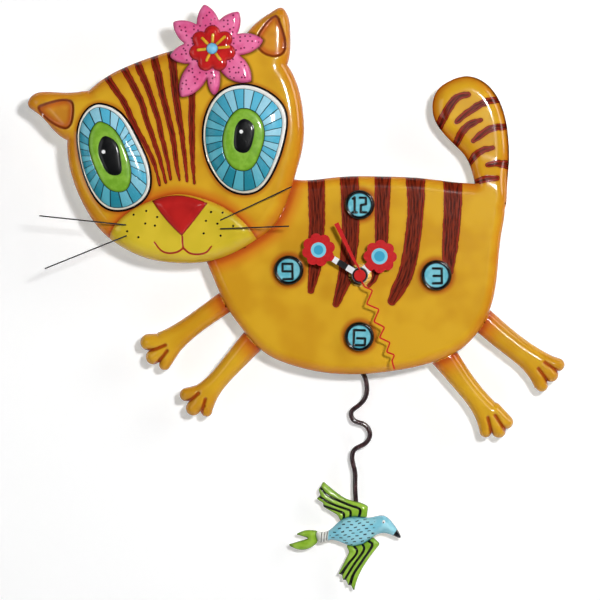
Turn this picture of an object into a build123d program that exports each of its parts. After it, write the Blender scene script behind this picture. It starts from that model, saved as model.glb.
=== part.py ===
"""A wall clock in the shape of a running cat, with flower hands and a bird pendulum.

Frame: +Z up, -Y to the front, millimetres, with the origin at the centre of the hole in the hanger
plate, on the plate's back face. The pieces are drawn about the axis of the hands in the plane of
the wall, where "depth" is the distance in front of the wall, and are moved to that origin at the
end. Every node is one piece of the clock and is written to parts/NODE.step.
"""

from build123d import *
from math import atan2, cos, degrees, hypot, radians, sin, tan
import os

# ---------------------------------------------------------------- driving dimensions

# Castings, as depths in front of the wall
CASTING_BACK = 8.0
DIAL_SKIN = 6.0            # resin in front of the movement
LEG_STEP = 4.5             # how far the legs and the tail lie behind the torso's front
TAIL_STEP = 3.0
NECK_STEP = 6.0            # depth of the rebate in the torso that the head is glued into
HEAD_THICKNESS = 13.0
EYE_RIM_HEIGHT = 1.6
EYE_BALL_HEIGHT = 1.4
IRIS_HEIGHT = 0.7
PUPIL_HEIGHT = 0.6
MUZZLE_HEIGHT = 2.5
NOSE_HEIGHT = 2.4
INNER_EAR_DEPTH = 2.0

# Flower on the head
PETAL_THICKNESS = 4.0
BLOSSOM_THICKNESS = 3.0
STAMEN_THICKNESS = 1.0
FLOWER_BEAD_HEIGHT = 2.4
FLOWER_BEAD_RADIUS = 3.2

# Whiskers
WIRE_RADIUS = 0.4
WIRE_HOLE_CLEARANCE = 0.05
WHISKER_SOCKET = 2.0
WHISKER_BEND = 1.2
WHISKER_RISE = 4.0

# Hour buttons
BUTTON_HEIGHT = 4.0
BUTTON_FACE_RECESS = 0.8
BUTTON_RIM = 1.8
BUTTON_ROUND = 1.2

# Movement case
CASE_WIDTH = 56.0
CASE_TOP = 32.0
CASE_BOTTOM = -45.0
CASE_WALL = 1.2
CASE_CORNER = 3.0
COVER_THICKNESS = 1.6
RECESS_CLEARANCE = 0.6
BAY_WALL = 0.8

# AA cell and its contacts
CELL_RADIUS = 7.25
CELL_LENGTH = 49.2
CELL_NUB_RADIUS = 2.7
CELL_NUB_LENGTH = 1.3
CELL_CLEARANCE = 0.35
CELL_FLOOR_GAP = 0.175     # from the cell to the front wall of the case
CELL_SINK = 0.125          # from the cell to the plane of the wall
CONTACT_THICKNESS = 0.4

# Shafts at the centre of the dial
BUSHING_RADIUS = 3.95
THREAD_SPARE = 1.4         # thread left in front of the nut
HOUR_PIPE_RADIUS = 2.55
MINUTE_ARBOR_RADIUS = 1.6
SECOND_ARBOR_RADIUS = 0.65
RUNNING_CLEARANCE = 0.08
HOLE_CLEARANCE = 0.15
WASHER_RADIUS = 6.6
WASHER_THICKNESS = 0.6
NUT_ACROSS_FLATS = 11.0
NUT_THICKNESS = 2.4

# Gear train
TRAIN_MODULE = 0.30        # rotor, step wheel and seconds wheel
THIRD_MODULE = 0.27        # seconds pinion and third wheel
MOTION_MODULE = 0.45       # minute arbor, minute wheel, hour wheel and setting stem
ROTOR_TEETH = 8
STEP_WHEEL_TEETH = 48
STEP_PINION_TEETH = 10
SECONDS_WHEEL_TEETH = 50
SECONDS_PINION_TEETH = 8
THIRD_WHEEL_TEETH = 60
THIRD_PINION_TEETH = 8
CENTRE_WHEEL_TEETH = 64
CANNON_TEETH = 10
MINUTE_WHEEL_TEETH = 30
MINUTE_PINION_TEETH = 8
HOUR_WHEEL_TEETH = 32
SETTING_TEETH = 10
WHEEL_THICKNESS = 0.8
PIVOT_RADIUS = 0.5
GEAR_PLATE_BACK = 8.6
GEAR_PLATE_THICKNESS = 0.8

# Directions of the wheel centres, in degrees from +X towards +Z
THIRD_DIRECTION = 20.0
STEP_DIRECTION = 150.0
ROTOR_DIRECTION = 178.0
MINUTE_WHEEL_DIRECTION = 200.0
SETTING_DIRECTION = 215.0

# Setting knob, in a well in the back cover
KNOB_RADIUS = 6.0
KNOB_THICKNESS = 2.3
KNOB_FLUTES = 18
KNOB_WELL_CLEARANCE = 1.2
KNOB_WELL_DEPTH = 3.0
STEM_RADIUS = 1.5

# Motor coil and its core
COIL_RADIUS = 2.5
COIL_CORE_RADIUS = 1.1
COIL_TOP_GAP = 0.3
CHEEK_HEIGHT = 2.0         # the core reaches this far past each end of the coil
COIL_X = -23.5
COIL_LOW_Z = 2.5
STATOR_THICKNESS = 0.8
STATOR_BACK = 2.8
ROTOR_MAGNET_RADIUS = 2.6
ROTOR_GAP = 0.4

# Hands
HAND_THICKNESS = 0.6
HOUR_HAND_STEP = 0.8       # from the end of the bushing to the hour hand
HAND_PITCH = 2.2           # from each hand to the next
FLOWER_HAND_RADIUS = 9.5
FLOWER_HAND_LOBES = 8
HOUR_HAND_REACH = 15.7     # from the axis to the flower's centre
HOUR_HAND_ANGLE = 42.9
MINUTE_HAND_REACH = 27.6
MINUTE_HAND_ANGLE = 148.3
HOUR_STEM_WIDTH = 5.4
MINUTE_STEM_WIDTH = 3.5
SECOND_CAP_RADIUS = 3.3
SECOND_TAIL_WIDTH = 0.9

# Pendulum
PIVOT_X = -3.0
PIVOT_Z = -17.0
PIVOT_PIN_RADIUS = 1.0
ARM_BACK = 2.2
ARM_THICKNESS = 1.6
ARM_WIDTH = 6.0
ARM_BOTTOM = -53.5
SWING = 10.0                # degrees to each side
SWING_CLEARANCE = 0.5
HOOK_PEG_RADIUS = 1.1
HOOK_PEG_Z = -51.0
ROD_RADIUS = 1.4
ROD_SIDE_GAP = 0.1
MAGNET_RADIUS = 4.5
MAGNET_THICKNESS = 3.2
MAGNET_Z = -36.0
DRIVE_COIL_RADIUS = 6.5
DRIVE_COIL_HOLE = 2.2
DRIVE_COIL_THICKNESS = 4.8
BIRD_BACK = 5.0
BIRD_WING_THICKNESS = 3.5
BIRD_TAIL_THICKNESS = 3.8
BIRD_BODY_THICKNESS = 7.5

# Hanger plate on the back of the torso
HANGER_X = -39.0
HANGER_Z = 43.5
HANGER_HOLE_RADIUS = 4.5
HANGER_SLOT_WIDTH = 3.6
HANGER_SLOT_RISE = 8.0
HANGER_THICKNESS = 1.2
HANGER_LENGTH = 34.0
HANGER_HEIGHT = 20.0
HANGER_SCREW_PITCH = 25.0
HANGER_POCKET_DEPTH = 5.0
SCREW_RADIUS = 1.4
SCREW_HEAD_RADIUS = 2.7
SCREW_HEAD_HEIGHT = 1.1
SCREW_LENGTH = 5.0

# Depths that follow from the sizes above
CASE_DEPTH = CASE_WALL + CELL_FLOOR_GAP + 2 * CELL_RADIUS + CELL_SINK
TORSO_FRONT = CASE_DEPTH + DIAL_SKIN
LEG_FRONT = TORSO_FRONT - LEG_STEP
TAIL_FRONT = TORSO_FRONT - TAIL_STEP
NECK_LAP = TORSO_FRONT - NECK_STEP
HEAD_FRONT = NECK_LAP + HEAD_THICKNESS
BUSHING_FRONT = TORSO_FRONT + WASHER_THICKNESS + NUT_THICKNESS + THREAD_SPARE
HOUR_HAND_BACK = BUSHING_FRONT + HOUR_HAND_STEP
MINUTE_HAND_BACK = HOUR_HAND_BACK + HAND_PITCH
SECOND_HAND_BACK = MINUTE_HAND_BACK + HAND_PITCH
ROD_DEPTH = ARM_BACK + ARM_THICKNESS + ROD_RADIUS + ROD_SIDE_GAP
MUZZLE_FRONT = HEAD_FRONT + MUZZLE_HEIGHT
CASE_INNER_FRONT = CASE_DEPTH - CASE_WALL
GEAR_PLATE_FRONT = GEAR_PLATE_BACK + GEAR_PLATE_THICKNESS

# ---------------------------------------------------------------- drawing helpers


def slab(sketch, back, front):
    """The sketch, drawn in X and Z, as a plate from one depth to another."""
    return extrude(Plane.XZ.offset(back) * sketch, amount=front - back)


def disc(radius, back, front, x=0.0, z=0.0):
    return slab(Pos(x, z) * Circle(radius), back, front)


def ring(outer, inner, back, front, x=0.0, z=0.0):
    return slab(Pos(x, z) * (Circle(outer) - Circle(inner)), back, front)


def loop(points):
    """A face inside one smooth closed curve."""
    return make_face(Spline(*points, periodic=True))


def between(side_a, side_b):
    """A face between two smooth curves that run the same way, closed by straight ends."""
    edges = [Spline(*side_a), Line(side_a[-1], side_b[-1]), Spline(*side_b), Line(side_b[0], side_a[0])]
    return make_face(Curve() + edges)


def capsule(start, end, radius):
    """A straight bar with round ends."""
    length = hypot(end[0] - start[0], end[1] - start[1])
    angle = degrees(atan2(end[1] - start[1], end[0] - start[0]))
    middle = Pos((start[0] + end[0]) / 2, (start[1] + end[1]) / 2)
    return middle * Rot(0, 0, angle) * SlotCenterToCenter(length, 2 * radius)


def polar(radius, angle, centre=(0.0, 0.0)):
    return (centre[0] + radius * cos(radians(angle)), centre[1] + radius * sin(radians(angle)))


def front_edges(solid, depth):
    """The edges of a plate that lie in the plane at that depth."""
    return solid.edges().filter_by(lambda edge: abs(edge.center().Y + depth) < 1e-3)


parts = {}

# ---------------------------------------------------------------- torso, legs and tail


TORSO = loop([
    (-50, 59), (-34, 54.2), (-12, 56), (12, 56.3), (36, 55.2), (58, 52.6), (72, 50.5), (81.5, 42), (81, 26),
    (78.6, 5), (75, -17), (67, -33), (56, -43.5), (40, -50.4), (20, -54.8), (0, -56.8), (-20, -56),
    (-38, -52), (-56, -43.5), (-67, -31.5), (-77, -17), (-83, -4), (-88, 8), (-94, 26), (-92, 48), (-74, 60),
])

TAIL = loop([
    (68, 34), (66.5, 45), (65.6, 51), (63.4, 60.5), (59.8, 68), (54.2, 74), (47.6, 80.8), (42.8, 88),
    (41.2, 96), (43.8, 105), (51, 110.6), (61, 113.3), (70.5, 110), (77.4, 102.6), (82, 92), (84.3, 79),
    (84.8, 65), (83.8, 51), (82, 36), (75, 29),
])

# Each leg: the two edges of its shank from the torso to the paw, then its toes
LEGS = {
    "front_upper": (
        [(-74, -6), (-82, -11.2), (-95, -20.8), (-106, -28.2), (-116.5, -33.4)],
        [(-66, -15.5), (-75.5, -22), (-89, -31.2), (-100.5, -41), (-108.5, -51)],
        [((-111, -38.5), (-121.4, -38.8), 4.8), ((-111, -42), (-118.7, -47.2), 4.4),
         ((-106, -42), (-112.2, -51.6), 3.3)],
    ),
    "front_lower": (
        [(-60, -25.5), (-67, -33.3), (-78, -47.2), (-88, -58.8), (-97, -65)],
        [(-50, -36.5), (-58, -44.3), (-69.5, -55.8), (-80, -67.8), (-84.4, -77)],
        [((-92, -67), (-99.7, -68.9), 3.9), ((-90.5, -69), (-95.8, -76.6), 4.3),
         ((-87, -70), (-88.2, -78.2), 3.4)],
    ),
    "hind_lower": (
        [(33, -42), (42, -51.5), (54, -65.2), (63.4, -77.2), (68.2, -89)],
        [(49, -35), (56, -44.8), (65.5, -59.2), (76, -71.6), (86.4, -81.4)],
        [((72, -80), (71.9, -89.6), 3.6), ((74.5, -79), (79.4, -89.2), 4.2),
         ((77, -77), (83.8, -84.3), 3.9)],
    ),
    "hind_upper": (
        [(60, -27), (68.5, -34.2), (82, -45), (94, -55.2), (100, -65)],
        [(66, -12.5), (75, -20.6), (88, -32), (101, -41.4), (114.5, -48.4)],
        [((99, -52), (103.9, -63.2), 3.7), ((101, -51), (109.2, -57), 4.3),
         ((103, -48), (113.3, -51.4), 3.7)],
    ),
}


HEAD_SHAPE = loop([
    (-155.5, 104), (-142, 114.4), (-126, 121.6), (-106, 128), (-84, 131.6), (-62, 130.6), (-44.5, 123),
    (-36, 109), (-32.4, 92), (-32.4, 75), (-36.6, 58), (-41.9, 41), (-50, 27), (-60, 19.3), (-73, 12),
    (-88, 7.4), (-103, 6.7), (-118, 8.5), (-134, 14.8), (-147.5, 25), (-157.5, 39.5), (-164, 55),
    (-167, 71), (-165, 88),
])

LEFT_EAR = loop([
    (-189.3, 98.8), (-186.4, 102.8), (-176, 104.4), (-162, 104.2), (-150, 104), (-146, 92), (-154, 78),
    (-166, 76.4), (-175, 82.8), (-184.4, 92.4),
])

RIGHT_EAR = loop([
    (-66, 136), (-58.5, 144), (-50.5, 149.6), (-44.4, 152), (-41.6, 148.6), (-39.8, 138), (-40, 126),
    (-43, 117), (-56, 112), (-70, 122),
])

LEFT_INNER_EAR = loop([(-182, 96.2), (-176, 98.2), (-163.4, 97.6), (-163, 94), (-167.2, 83.6), (-169, 83.8)])
RIGHT_INNER_EAR = loop([(-46.4, 146), (-45, 142), (-45.2, 125), (-47, 124.4), (-58, 130), (-58, 135)])

HEAD = HEAD_SHAPE + LEFT_EAR + RIGHT_EAR

legs_sketch = Sketch()
for side_a, side_b, toes in LEGS.values():
    leg = between(side_a, side_b)
    for start, end, radius in toes:
        leg += capsule(start, end, radius)
    legs_sketch += leg

case_middle = (CASE_TOP + CASE_BOTTOM) / 2
case_height = CASE_TOP - CASE_BOTTOM
recess_sketch = Pos(0, case_middle) * RectangleRounded(
    CASE_WIDTH + 2 * RECESS_CLEARANCE, case_height + 2 * RECESS_CLEARANCE, CASE_CORNER)

hanger_screw_places = [(HANGER_X + side * HANGER_SCREW_PITCH / 2, HANGER_Z) for side in (-1, 1)]

body = slab(TORSO, CASTING_BACK, TORSO_FRONT)
body += slab(legs_sketch, CASTING_BACK, LEG_FRONT)
body += slab(TAIL, CASTING_BACK, TAIL_FRONT)
body -= slab(HEAD, NECK_LAP, TORSO_FRONT + 1)
body -= slab(recess_sketch, CASTING_BACK - 1, CASE_DEPTH)
body -= disc(BUSHING_RADIUS + HOLE_CLEARANCE, CASE_DEPTH - 1, TORSO_FRONT + 1)
pocket_height = HANGER_SLOT_RISE + 2 * HANGER_HOLE_RADIUS + 1
pocket = Pos(HANGER_X, HANGER_Z + (HANGER_SLOT_RISE - 1) / 2) * RectangleRounded(
    2 * HANGER_HOLE_RADIUS + 4, pocket_height, 3)
body -= slab(pocket, CASTING_BACK - 1, CASTING_BACK + HANGER_POCKET_DEPTH)
for x, z in hanger_screw_places:
    body -= disc(SCREW_RADIUS, CASTING_BACK - 1, CASTING_BACK + SCREW_LENGTH, x, z)
parts["body_casting"] = body

# ---------------------------------------------------------------- head, eyes, muzzle and nose

head = slab(HEAD, NECK_LAP, HEAD_FRONT)
head -= slab(LEFT_INNER_EAR, HEAD_FRONT - INNER_EAR_DEPTH, HEAD_FRONT + 1)
head -= slab(RIGHT_INNER_EAR, HEAD_FRONT - INNER_EAR_DEPTH, HEAD_FRONT + 1)
parts["head_casting"] = head

LEFT_EYE = {
    "rim": [(-147, 97), (-136.5, 92.5), (-127, 78.5), (-119.8, 61), (-120.5, 46.5), (-131, 38),
            (-143, 37.8), (-153.4, 49.5), (-159.2, 68), (-158.2, 89)],
    "ball": [(-147, 95), (-138, 91), (-129, 77.5), (-122, 60.5), (-122.4, 48), (-131.5, 40),
             (-142, 39.8), (-152, 51), (-157.6, 69), (-156.8, 88)],
    "iris": [(-146.5, 87), (-139.6, 83), (-133, 71.5), (-129.8, 57), (-133, 48.2), (-140.5, 48),
             (-149, 58), (-153.6, 72), (-152, 83)],
    "pupil": [(-143.5, 78.8), (-138.4, 75.5), (-135.4, 64), (-136, 57.6), (-141, 57), (-146.4, 64),
              (-148.2, 73)],
}
RIGHT_EYE = {
    "rim": [(-66, 108), (-52.5, 104), (-42.8, 94), (-42.8, 78), (-48.8, 60), (-59, 47.6), (-71.5, 47.4),
            (-82.8, 57.5), (-88.6, 74), (-86.6, 93), (-78, 104.6)],
    "ball": [(-66, 105.6), (-54, 102), (-45, 92.6), (-45.2, 78), (-51, 61), (-60, 49.9), (-71, 49.6),
             (-81, 59), (-86.4, 74.5), (-84.6, 92), (-76.6, 102.8)],
    "iris": [(-66, 94.6), (-58, 91.2), (-54.2, 83), (-56.6, 69), (-63, 59.8), (-71, 60.4), (-77.4, 71),
             (-76.6, 83.5), (-72, 91.6)],
    "pupil": [(-64.4, 88.4), (-60.4, 85), (-60.6, 76.5), (-64.6, 69.6), (-69.6, 70.6), (-71.2, 79),
              (-69, 86.4)],
}


def eye(layers):
    """A cast eye: a flat rim, then the ball, the iris and the pupil, each raised a little more."""
    rim_front = HEAD_FRONT + EYE_RIM_HEIGHT
    ball_front = rim_front + EYE_BALL_HEIGHT
    iris_front = ball_front + IRIS_HEIGHT
    made = slab(loop(layers["rim"]), HEAD_FRONT, rim_front)
    made += slab(loop(layers["ball"]), rim_front, ball_front)
    made += slab(loop(layers["iris"]), ball_front, iris_front)
    made += slab(loop(layers["pupil"]), iris_front, iris_front + PUPIL_HEIGHT)
    return made


parts["left_eye"] = eye(LEFT_EYE)
parts["right_eye"] = eye(RIGHT_EYE)

MUZZLE_TOP = [(-143, 16), (-140.8, 26), (-131, 36.2), (-118, 42.6), (-104, 46), (-90, 43.8), (-73, 36),
              (-63.5, 27.5), (-57, 16)]
muzzle_region = make_face(Curve() + [
    Spline(*MUZZLE_TOP), Line(MUZZLE_TOP[-1], (-57, 0)), Line((-57, 0), (-143, 0)), Line((-143, 0), MUZZLE_TOP[0])])
MUZZLE = muzzle_region & HEAD_SHAPE

WHISKERS = {
    "whisker_left_upper": ((-133, 28.6), (-181.5, 33.8)),
    "whisker_left_lower": ((-132.6, 22.4), (-178.5, 3.8)),
    "whisker_right_upper": ((-79, 31.3), (-38.5, 50.2)),
    "whisker_right_lower": ((-79, 26.4), (-40, 27.9)),
}

muzzle = slab(MUZZLE, HEAD_FRONT, MUZZLE_FRONT)
for root, tip in WHISKERS.values():
    muzzle -= disc(WIRE_RADIUS + WIRE_HOLE_CLEARANCE, MUZZLE_FRONT - WHISKER_SOCKET, MUZZLE_FRONT + 1, *root)
parts["muzzle"] = muzzle

NOSE_CORNERS = ((-118, 42.2), (-101, 22.3), (-86.4, 41))
nose_sketch = make_face(Curve() + [
    Spline(NOSE_CORNERS[0], (-111.5, 44.6), (-102, 45.4), (-93, 43.6), NOSE_CORNERS[2]),
    Spline(NOSE_CORNERS[2], (-93.6, 31.4), NOSE_CORNERS[1]),
    Spline(NOSE_CORNERS[1], (-109.6, 31), NOSE_CORNERS[0]),
])
parts["nose"] = slab(nose_sketch, MUZZLE_FRONT, MUZZLE_FRONT + NOSE_HEIGHT)


def whisker(root, tip):
    """A stiff wire out of its socket in the muzzle, bent over to run outwards and a little forwards."""
    socket_end = (root[0], -(MUZZLE_FRONT - WHISKER_SOCKET), root[1])
    elbow = (root[0], -(MUZZLE_FRONT + WHISKER_BEND), root[1])
    end = (tip[0], -(MUZZLE_FRONT + WHISKER_BEND + WHISKER_RISE), tip[1])
    path = FilletPolyline(socket_end, elbow, end, radius=WHISKER_BEND * 0.8)
    return sweep(Plane(origin=socket_end, z_dir=(0, -1, 0)) * Circle(WIRE_RADIUS), path=path)


for name, (root, tip) in WHISKERS.items():
    parts[name] = whisker(root, tip)

# ---------------------------------------------------------------- flower on the head

FLOWER_CENTRE = (-83.5, 128.2)
# Petal tips, and the fullest width and its share of the length for each
PETALS = [
    ((-88.2, 153.6), 12.6), ((-68.6, 149.4), 12.4), ((-54.8, 133.2), 12.0), ((-61.6, 109.8), 14.0),
    ((-82.6, 102), 7.4), ((-101.6, 101), 13.2), ((-108, 124), 11.4), ((-106, 143.6), 12.6),
]
PETAL_FULLEST = 0.62


def petal(tip, width):
    """A pointed leaf shape from the flower's centre to the tip."""
    length = hypot(tip[0] - FLOWER_CENTRE[0], tip[1] - FLOWER_CENTRE[1])
    angle = degrees(atan2(tip[1] - FLOWER_CENTRE[1], tip[0] - FLOWER_CENTRE[0]))
    half = width / 2
    fullest = PETAL_FULLEST * length
    upper = Spline((0, half * 0.7), (fullest, half), (length, 0), tangents=[(1, 0), (0.55, -0.85)])
    lower = Spline((length, 0), (fullest, -half), (0, -half * 0.7), tangents=[(-0.55, -0.85), (-1, 0)])
    leaf = make_face(Curve() + [upper, lower, Line((0, -half * 0.7), (0, half * 0.7))])
    return Pos(*FLOWER_CENTRE) * Rot(0, 0, angle) * leaf


def blossom(lobes, tip_radius, lobe_radius, phase=90.0):
    """A round flower: a disc with a ring of round lobes."""
    sketch = Sketch() + Circle(tip_radius - lobe_radius)
    for k in range(lobes):
        sketch += Pos(*polar(tip_radius - lobe_radius, phase + 360 * k / lobes)) * Circle(lobe_radius)
    return sketch


petals = Sketch() + Pos(*FLOWER_CENTRE) * Circle(11)
for tip, width in PETALS:
    petals += petal(tip, width)
petal_front = HEAD_FRONT + PETAL_THICKNESS
blossom_front = petal_front + BLOSSOM_THICKNESS
parts["flower_petals"] = slab(petals, HEAD_FRONT, petal_front)
parts["flower_blossom"] = slab(Pos(*FLOWER_CENTRE) * blossom(7, 13.4, 4.6), petal_front, blossom_front)
parts["flower_bead"] = disc(FLOWER_BEAD_RADIUS, blossom_front, blossom_front + FLOWER_BEAD_HEIGHT, *FLOWER_CENTRE)

STAMEN_TIPS = [(-83, 136), (-76.4, 134.8), (-74.2, 129.2), (-79, 122), (-86.6, 121.6), (-91.4, 127.4), (-89, 134)]
stamens = []
for tip in STAMEN_TIPS:
    stamen = capsule(FLOWER_CENTRE, tip, 0.9) - Pos(*FLOWER_CENTRE) * Circle(FLOWER_BEAD_RADIUS)
    stamens += slab(stamen, blossom_front, blossom_front + STAMEN_THICKNESS).solids()
parts["flower_stamens"] = Compound(children=stamens)

# ---------------------------------------------------------------- hour buttons

BUTTONS = {
    "hour_button_12": ((-0.3, 40.0), 8.6),
    "hour_button_3": ((43.4, -0.1), 8.9),
    "hour_button_6": ((-0.4, -35.0), 8.6),
    "hour_button_9": ((-40.6, 2.8), 8.6),
}

for name, (centre, radius) in BUTTONS.items():
    button = disc(radius, TORSO_FRONT, TORSO_FRONT + BUTTON_HEIGHT, *centre)
    button = fillet(front_edges(button, TORSO_FRONT + BUTTON_HEIGHT), BUTTON_ROUND)
    face_back = TORSO_FRONT + BUTTON_HEIGHT - BUTTON_FACE_RECESS
    button -= disc(radius - BUTTON_RIM, face_back, TORSO_FRONT + BUTTON_HEIGHT + 1, *centre)
    parts[name] = button

# ---------------------------------------------------------------- gears


def gear_sketch(teeth, module, centre, phase):
    """Straight-flanked teeth, thinned for backlash, with one tooth centred at the phase angle."""
    pitch_radius = module * teeth / 2
    root, tip = pitch_radius - 1.25 * module, pitch_radius + 0.8 * module
    step = 360 / teeth
    root_share, tip_share = (0.40, 0.16) if teeth > 12 else (0.34, 0.20)
    points = []
    for k in range(teeth):
        middle = phase + k * step
        points.append(polar(root, middle - root_share * step / 2, centre))
        points.append(polar(tip, middle - tip_share * step / 2, centre))
        points.append(polar(tip, middle + tip_share * step / 2, centre))
        points.append(polar(root, middle + root_share * step / 2, centre))
    return make_face(Polyline(*points, close=True))


def gear(teeth, module, centre, phase, back, front):
    return slab(gear_sketch(teeth, module, centre, phase), back, front)


def meshed_phase(driver, driver_teeth, driver_phase, driven, driven_teeth):
    """The phase that puts a gap of the driven gear on the driver's tooth on the line of centres."""
    along = degrees(atan2(driven[1] - driver[1], driven[0] - driver[0]))
    share = (along - driver_phase) / (360 / driver_teeth)
    return along + 180 - (0.5 - share) * 360 / driven_teeth


def centre_distance(teeth_a, teeth_b, module):
    return (teeth_a + teeth_b) * module / 2


HUB = (0.0, 0.0)
CENTRE_MODULE = THIRD_MODULE * (THIRD_WHEEL_TEETH + SECONDS_PINION_TEETH) / (CENTRE_WHEEL_TEETH + THIRD_PINION_TEETH)
third_at = polar(centre_distance(THIRD_WHEEL_TEETH, SECONDS_PINION_TEETH, THIRD_MODULE), THIRD_DIRECTION)
step_at = polar(centre_distance(SECONDS_WHEEL_TEETH, STEP_PINION_TEETH, TRAIN_MODULE), STEP_DIRECTION)
rotor_at = polar(centre_distance(STEP_WHEEL_TEETH, ROTOR_TEETH, TRAIN_MODULE), ROTOR_DIRECTION, step_at)
minute_wheel_at = polar(centre_distance(CANNON_TEETH, MINUTE_WHEEL_TEETH, MOTION_MODULE), MINUTE_WHEEL_DIRECTION)
setting_at = polar(
    centre_distance(MINUTE_WHEEL_TEETH, SETTING_TEETH, MOTION_MODULE), SETTING_DIRECTION, minute_wheel_at)

# Running train, from the seconds wheel at the back
SECONDS_BACK = 3.6
seconds_phase = 0.0
seconds_front = SECONDS_BACK + WHEEL_THICKNESS
third_back = seconds_front + 0.4
third_front = third_back + WHEEL_THICKNESS
step_back = third_front - 0.4
step_front = step_back + WHEEL_THICKNESS
centre_back = step_front + 0.4
centre_front = centre_back + WHEEL_THICKNESS
cap_front = SECOND_HAND_BACK + HAND_THICKNESS + 1.0

seconds = gear(SECONDS_WHEEL_TEETH, TRAIN_MODULE, HUB, seconds_phase, SECONDS_BACK, seconds_front)
seconds += gear(SECONDS_PINION_TEETH, THIRD_MODULE, HUB, seconds_phase, seconds_front, step_front)
seconds += disc(SECOND_ARBOR_RADIUS, COVER_THICKNESS + 0.3, SECOND_HAND_BACK - 0.6)
parts["seconds_wheel"] = seconds

third_phase = meshed_phase(HUB, SECONDS_PINION_TEETH, seconds_phase, third_at, THIRD_WHEEL_TEETH)
third = gear(THIRD_WHEEL_TEETH, THIRD_MODULE, third_at, third_phase, third_back, third_front)
third += gear(THIRD_PINION_TEETH, CENTRE_MODULE, third_at, third_phase, third_front, centre_front + 0.3)
third += disc(PIVOT_RADIUS, COVER_THICKNESS + 0.3, GEAR_PLATE_FRONT, *third_at)
parts["third_wheel"] = third

centre_phase = meshed_phase(third_at, THIRD_PINION_TEETH, third_phase, HUB, CENTRE_WHEEL_TEETH)
centre = gear(CENTRE_WHEEL_TEETH, CENTRE_MODULE, HUB, centre_phase, centre_back, centre_front)
centre -= disc(MINUTE_ARBOR_RADIUS + RUNNING_CLEARANCE, centre_back - 1, centre_front + 1)
parts["centre_wheel"] = centre

step_phase = meshed_phase(HUB, SECONDS_WHEEL_TEETH, seconds_phase, step_at, STEP_PINION_TEETH)
step = gear(STEP_PINION_TEETH, TRAIN_MODULE, step_at, step_phase, SECONDS_BACK - 0.3, step_back)
step += gear(STEP_WHEEL_TEETH, TRAIN_MODULE, step_at, step_phase, step_back, step_front)
step += disc(PIVOT_RADIUS, COVER_THICKNESS + 0.3, GEAR_PLATE_FRONT, *step_at)
parts["step_wheel"] = step

rotor_phase = meshed_phase(step_at, STEP_WHEEL_TEETH, step_phase, rotor_at, ROTOR_TEETH)
magnet_front = step_back - 0.3
rotor = gear(ROTOR_TEETH, TRAIN_MODULE, rotor_at, rotor_phase, magnet_front, step_front + 0.3)
rotor += disc(PIVOT_RADIUS, COVER_THICKNESS + 0.3, GEAR_PLATE_FRONT, *rotor_at)
parts["rotor_pinion"] = rotor
parts["rotor_magnet"] = ring(ROTOR_MAGNET_RADIUS, PIVOT_RADIUS, COVER_THICKNESS + 0.6, magnet_front, *rotor_at)

# Motion work: minute arbor, minute wheel, hour wheel and setting stem
cannon_back, cannon_front = GEAR_PLATE_FRONT + 0.6, 12.6
hour_wheel_back = cannon_front + 0.3
hour_wheel_front = hour_wheel_back + WHEEL_THICKNESS
cannon_phase = 0.0

arbor = disc(MINUTE_ARBOR_RADIUS, centre_back - 0.2, MINUTE_HAND_BACK + 1.4)
arbor += gear(CANNON_TEETH, MOTION_MODULE, HUB, cannon_phase, cannon_back, cannon_front)
arbor -= disc(SECOND_ARBOR_RADIUS + RUNNING_CLEARANCE, centre_back - 1, MINUTE_HAND_BACK + 3)
parts["minute_arbor"] = arbor

minute_wheel_phase = meshed_phase(HUB, CANNON_TEETH, cannon_phase, minute_wheel_at, MINUTE_WHEEL_TEETH)
minute_wheel_front = cannon_back + 0.2 + WHEEL_THICKNESS
minute_wheel = gear(
    MINUTE_WHEEL_TEETH, MOTION_MODULE, minute_wheel_at, minute_wheel_phase, cannon_back + 0.2, minute_wheel_front)
minute_wheel += gear(
    MINUTE_PINION_TEETH, MOTION_MODULE, minute_wheel_at, minute_wheel_phase, minute_wheel_front, hour_wheel_front)
minute_wheel += disc(PIVOT_RADIUS, GEAR_PLATE_BACK, hour_wheel_front + 0.6, *minute_wheel_at)
parts["minute_wheel"] = minute_wheel

hour_phase = meshed_phase(minute_wheel_at, MINUTE_PINION_TEETH, minute_wheel_phase, HUB, HOUR_WHEEL_TEETH)
hour_wheel = gear(HOUR_WHEEL_TEETH, MOTION_MODULE, HUB, hour_phase, hour_wheel_back, hour_wheel_front)
hour_wheel += disc(HOUR_PIPE_RADIUS, hour_wheel_back, HOUR_HAND_BACK + 1.2)
hour_wheel -= disc(MINUTE_ARBOR_RADIUS + RUNNING_CLEARANCE, hour_wheel_back - 1, HOUR_HAND_BACK + 3)
parts["hour_wheel"] = hour_wheel

setting_phase = meshed_phase(minute_wheel_at, MINUTE_WHEEL_TEETH, minute_wheel_phase, setting_at, SETTING_TEETH)
stem = gear(SETTING_TEETH, MOTION_MODULE, setting_at, setting_phase, cannon_back - 0.2, minute_wheel_front + 0.6)
stem += disc(STEM_RADIUS, KNOB_THICKNESS + 0.5, cannon_back - 0.2, *setting_at)
parts["setting_stem"] = stem

flute_pitch = 360 / KNOB_FLUTES
knob = Circle(KNOB_RADIUS)
for k in range(KNOB_FLUTES):
    knob -= Pos(*polar(KNOB_RADIUS, k * flute_pitch)) * Circle(KNOB_RADIUS * 0.07)
parts["setting_knob"] = slab(Pos(*setting_at) * knob, 0.5, KNOB_THICKNESS + 0.5)

# ---------------------------------------------------------------- movement case, plates and electrics

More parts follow.
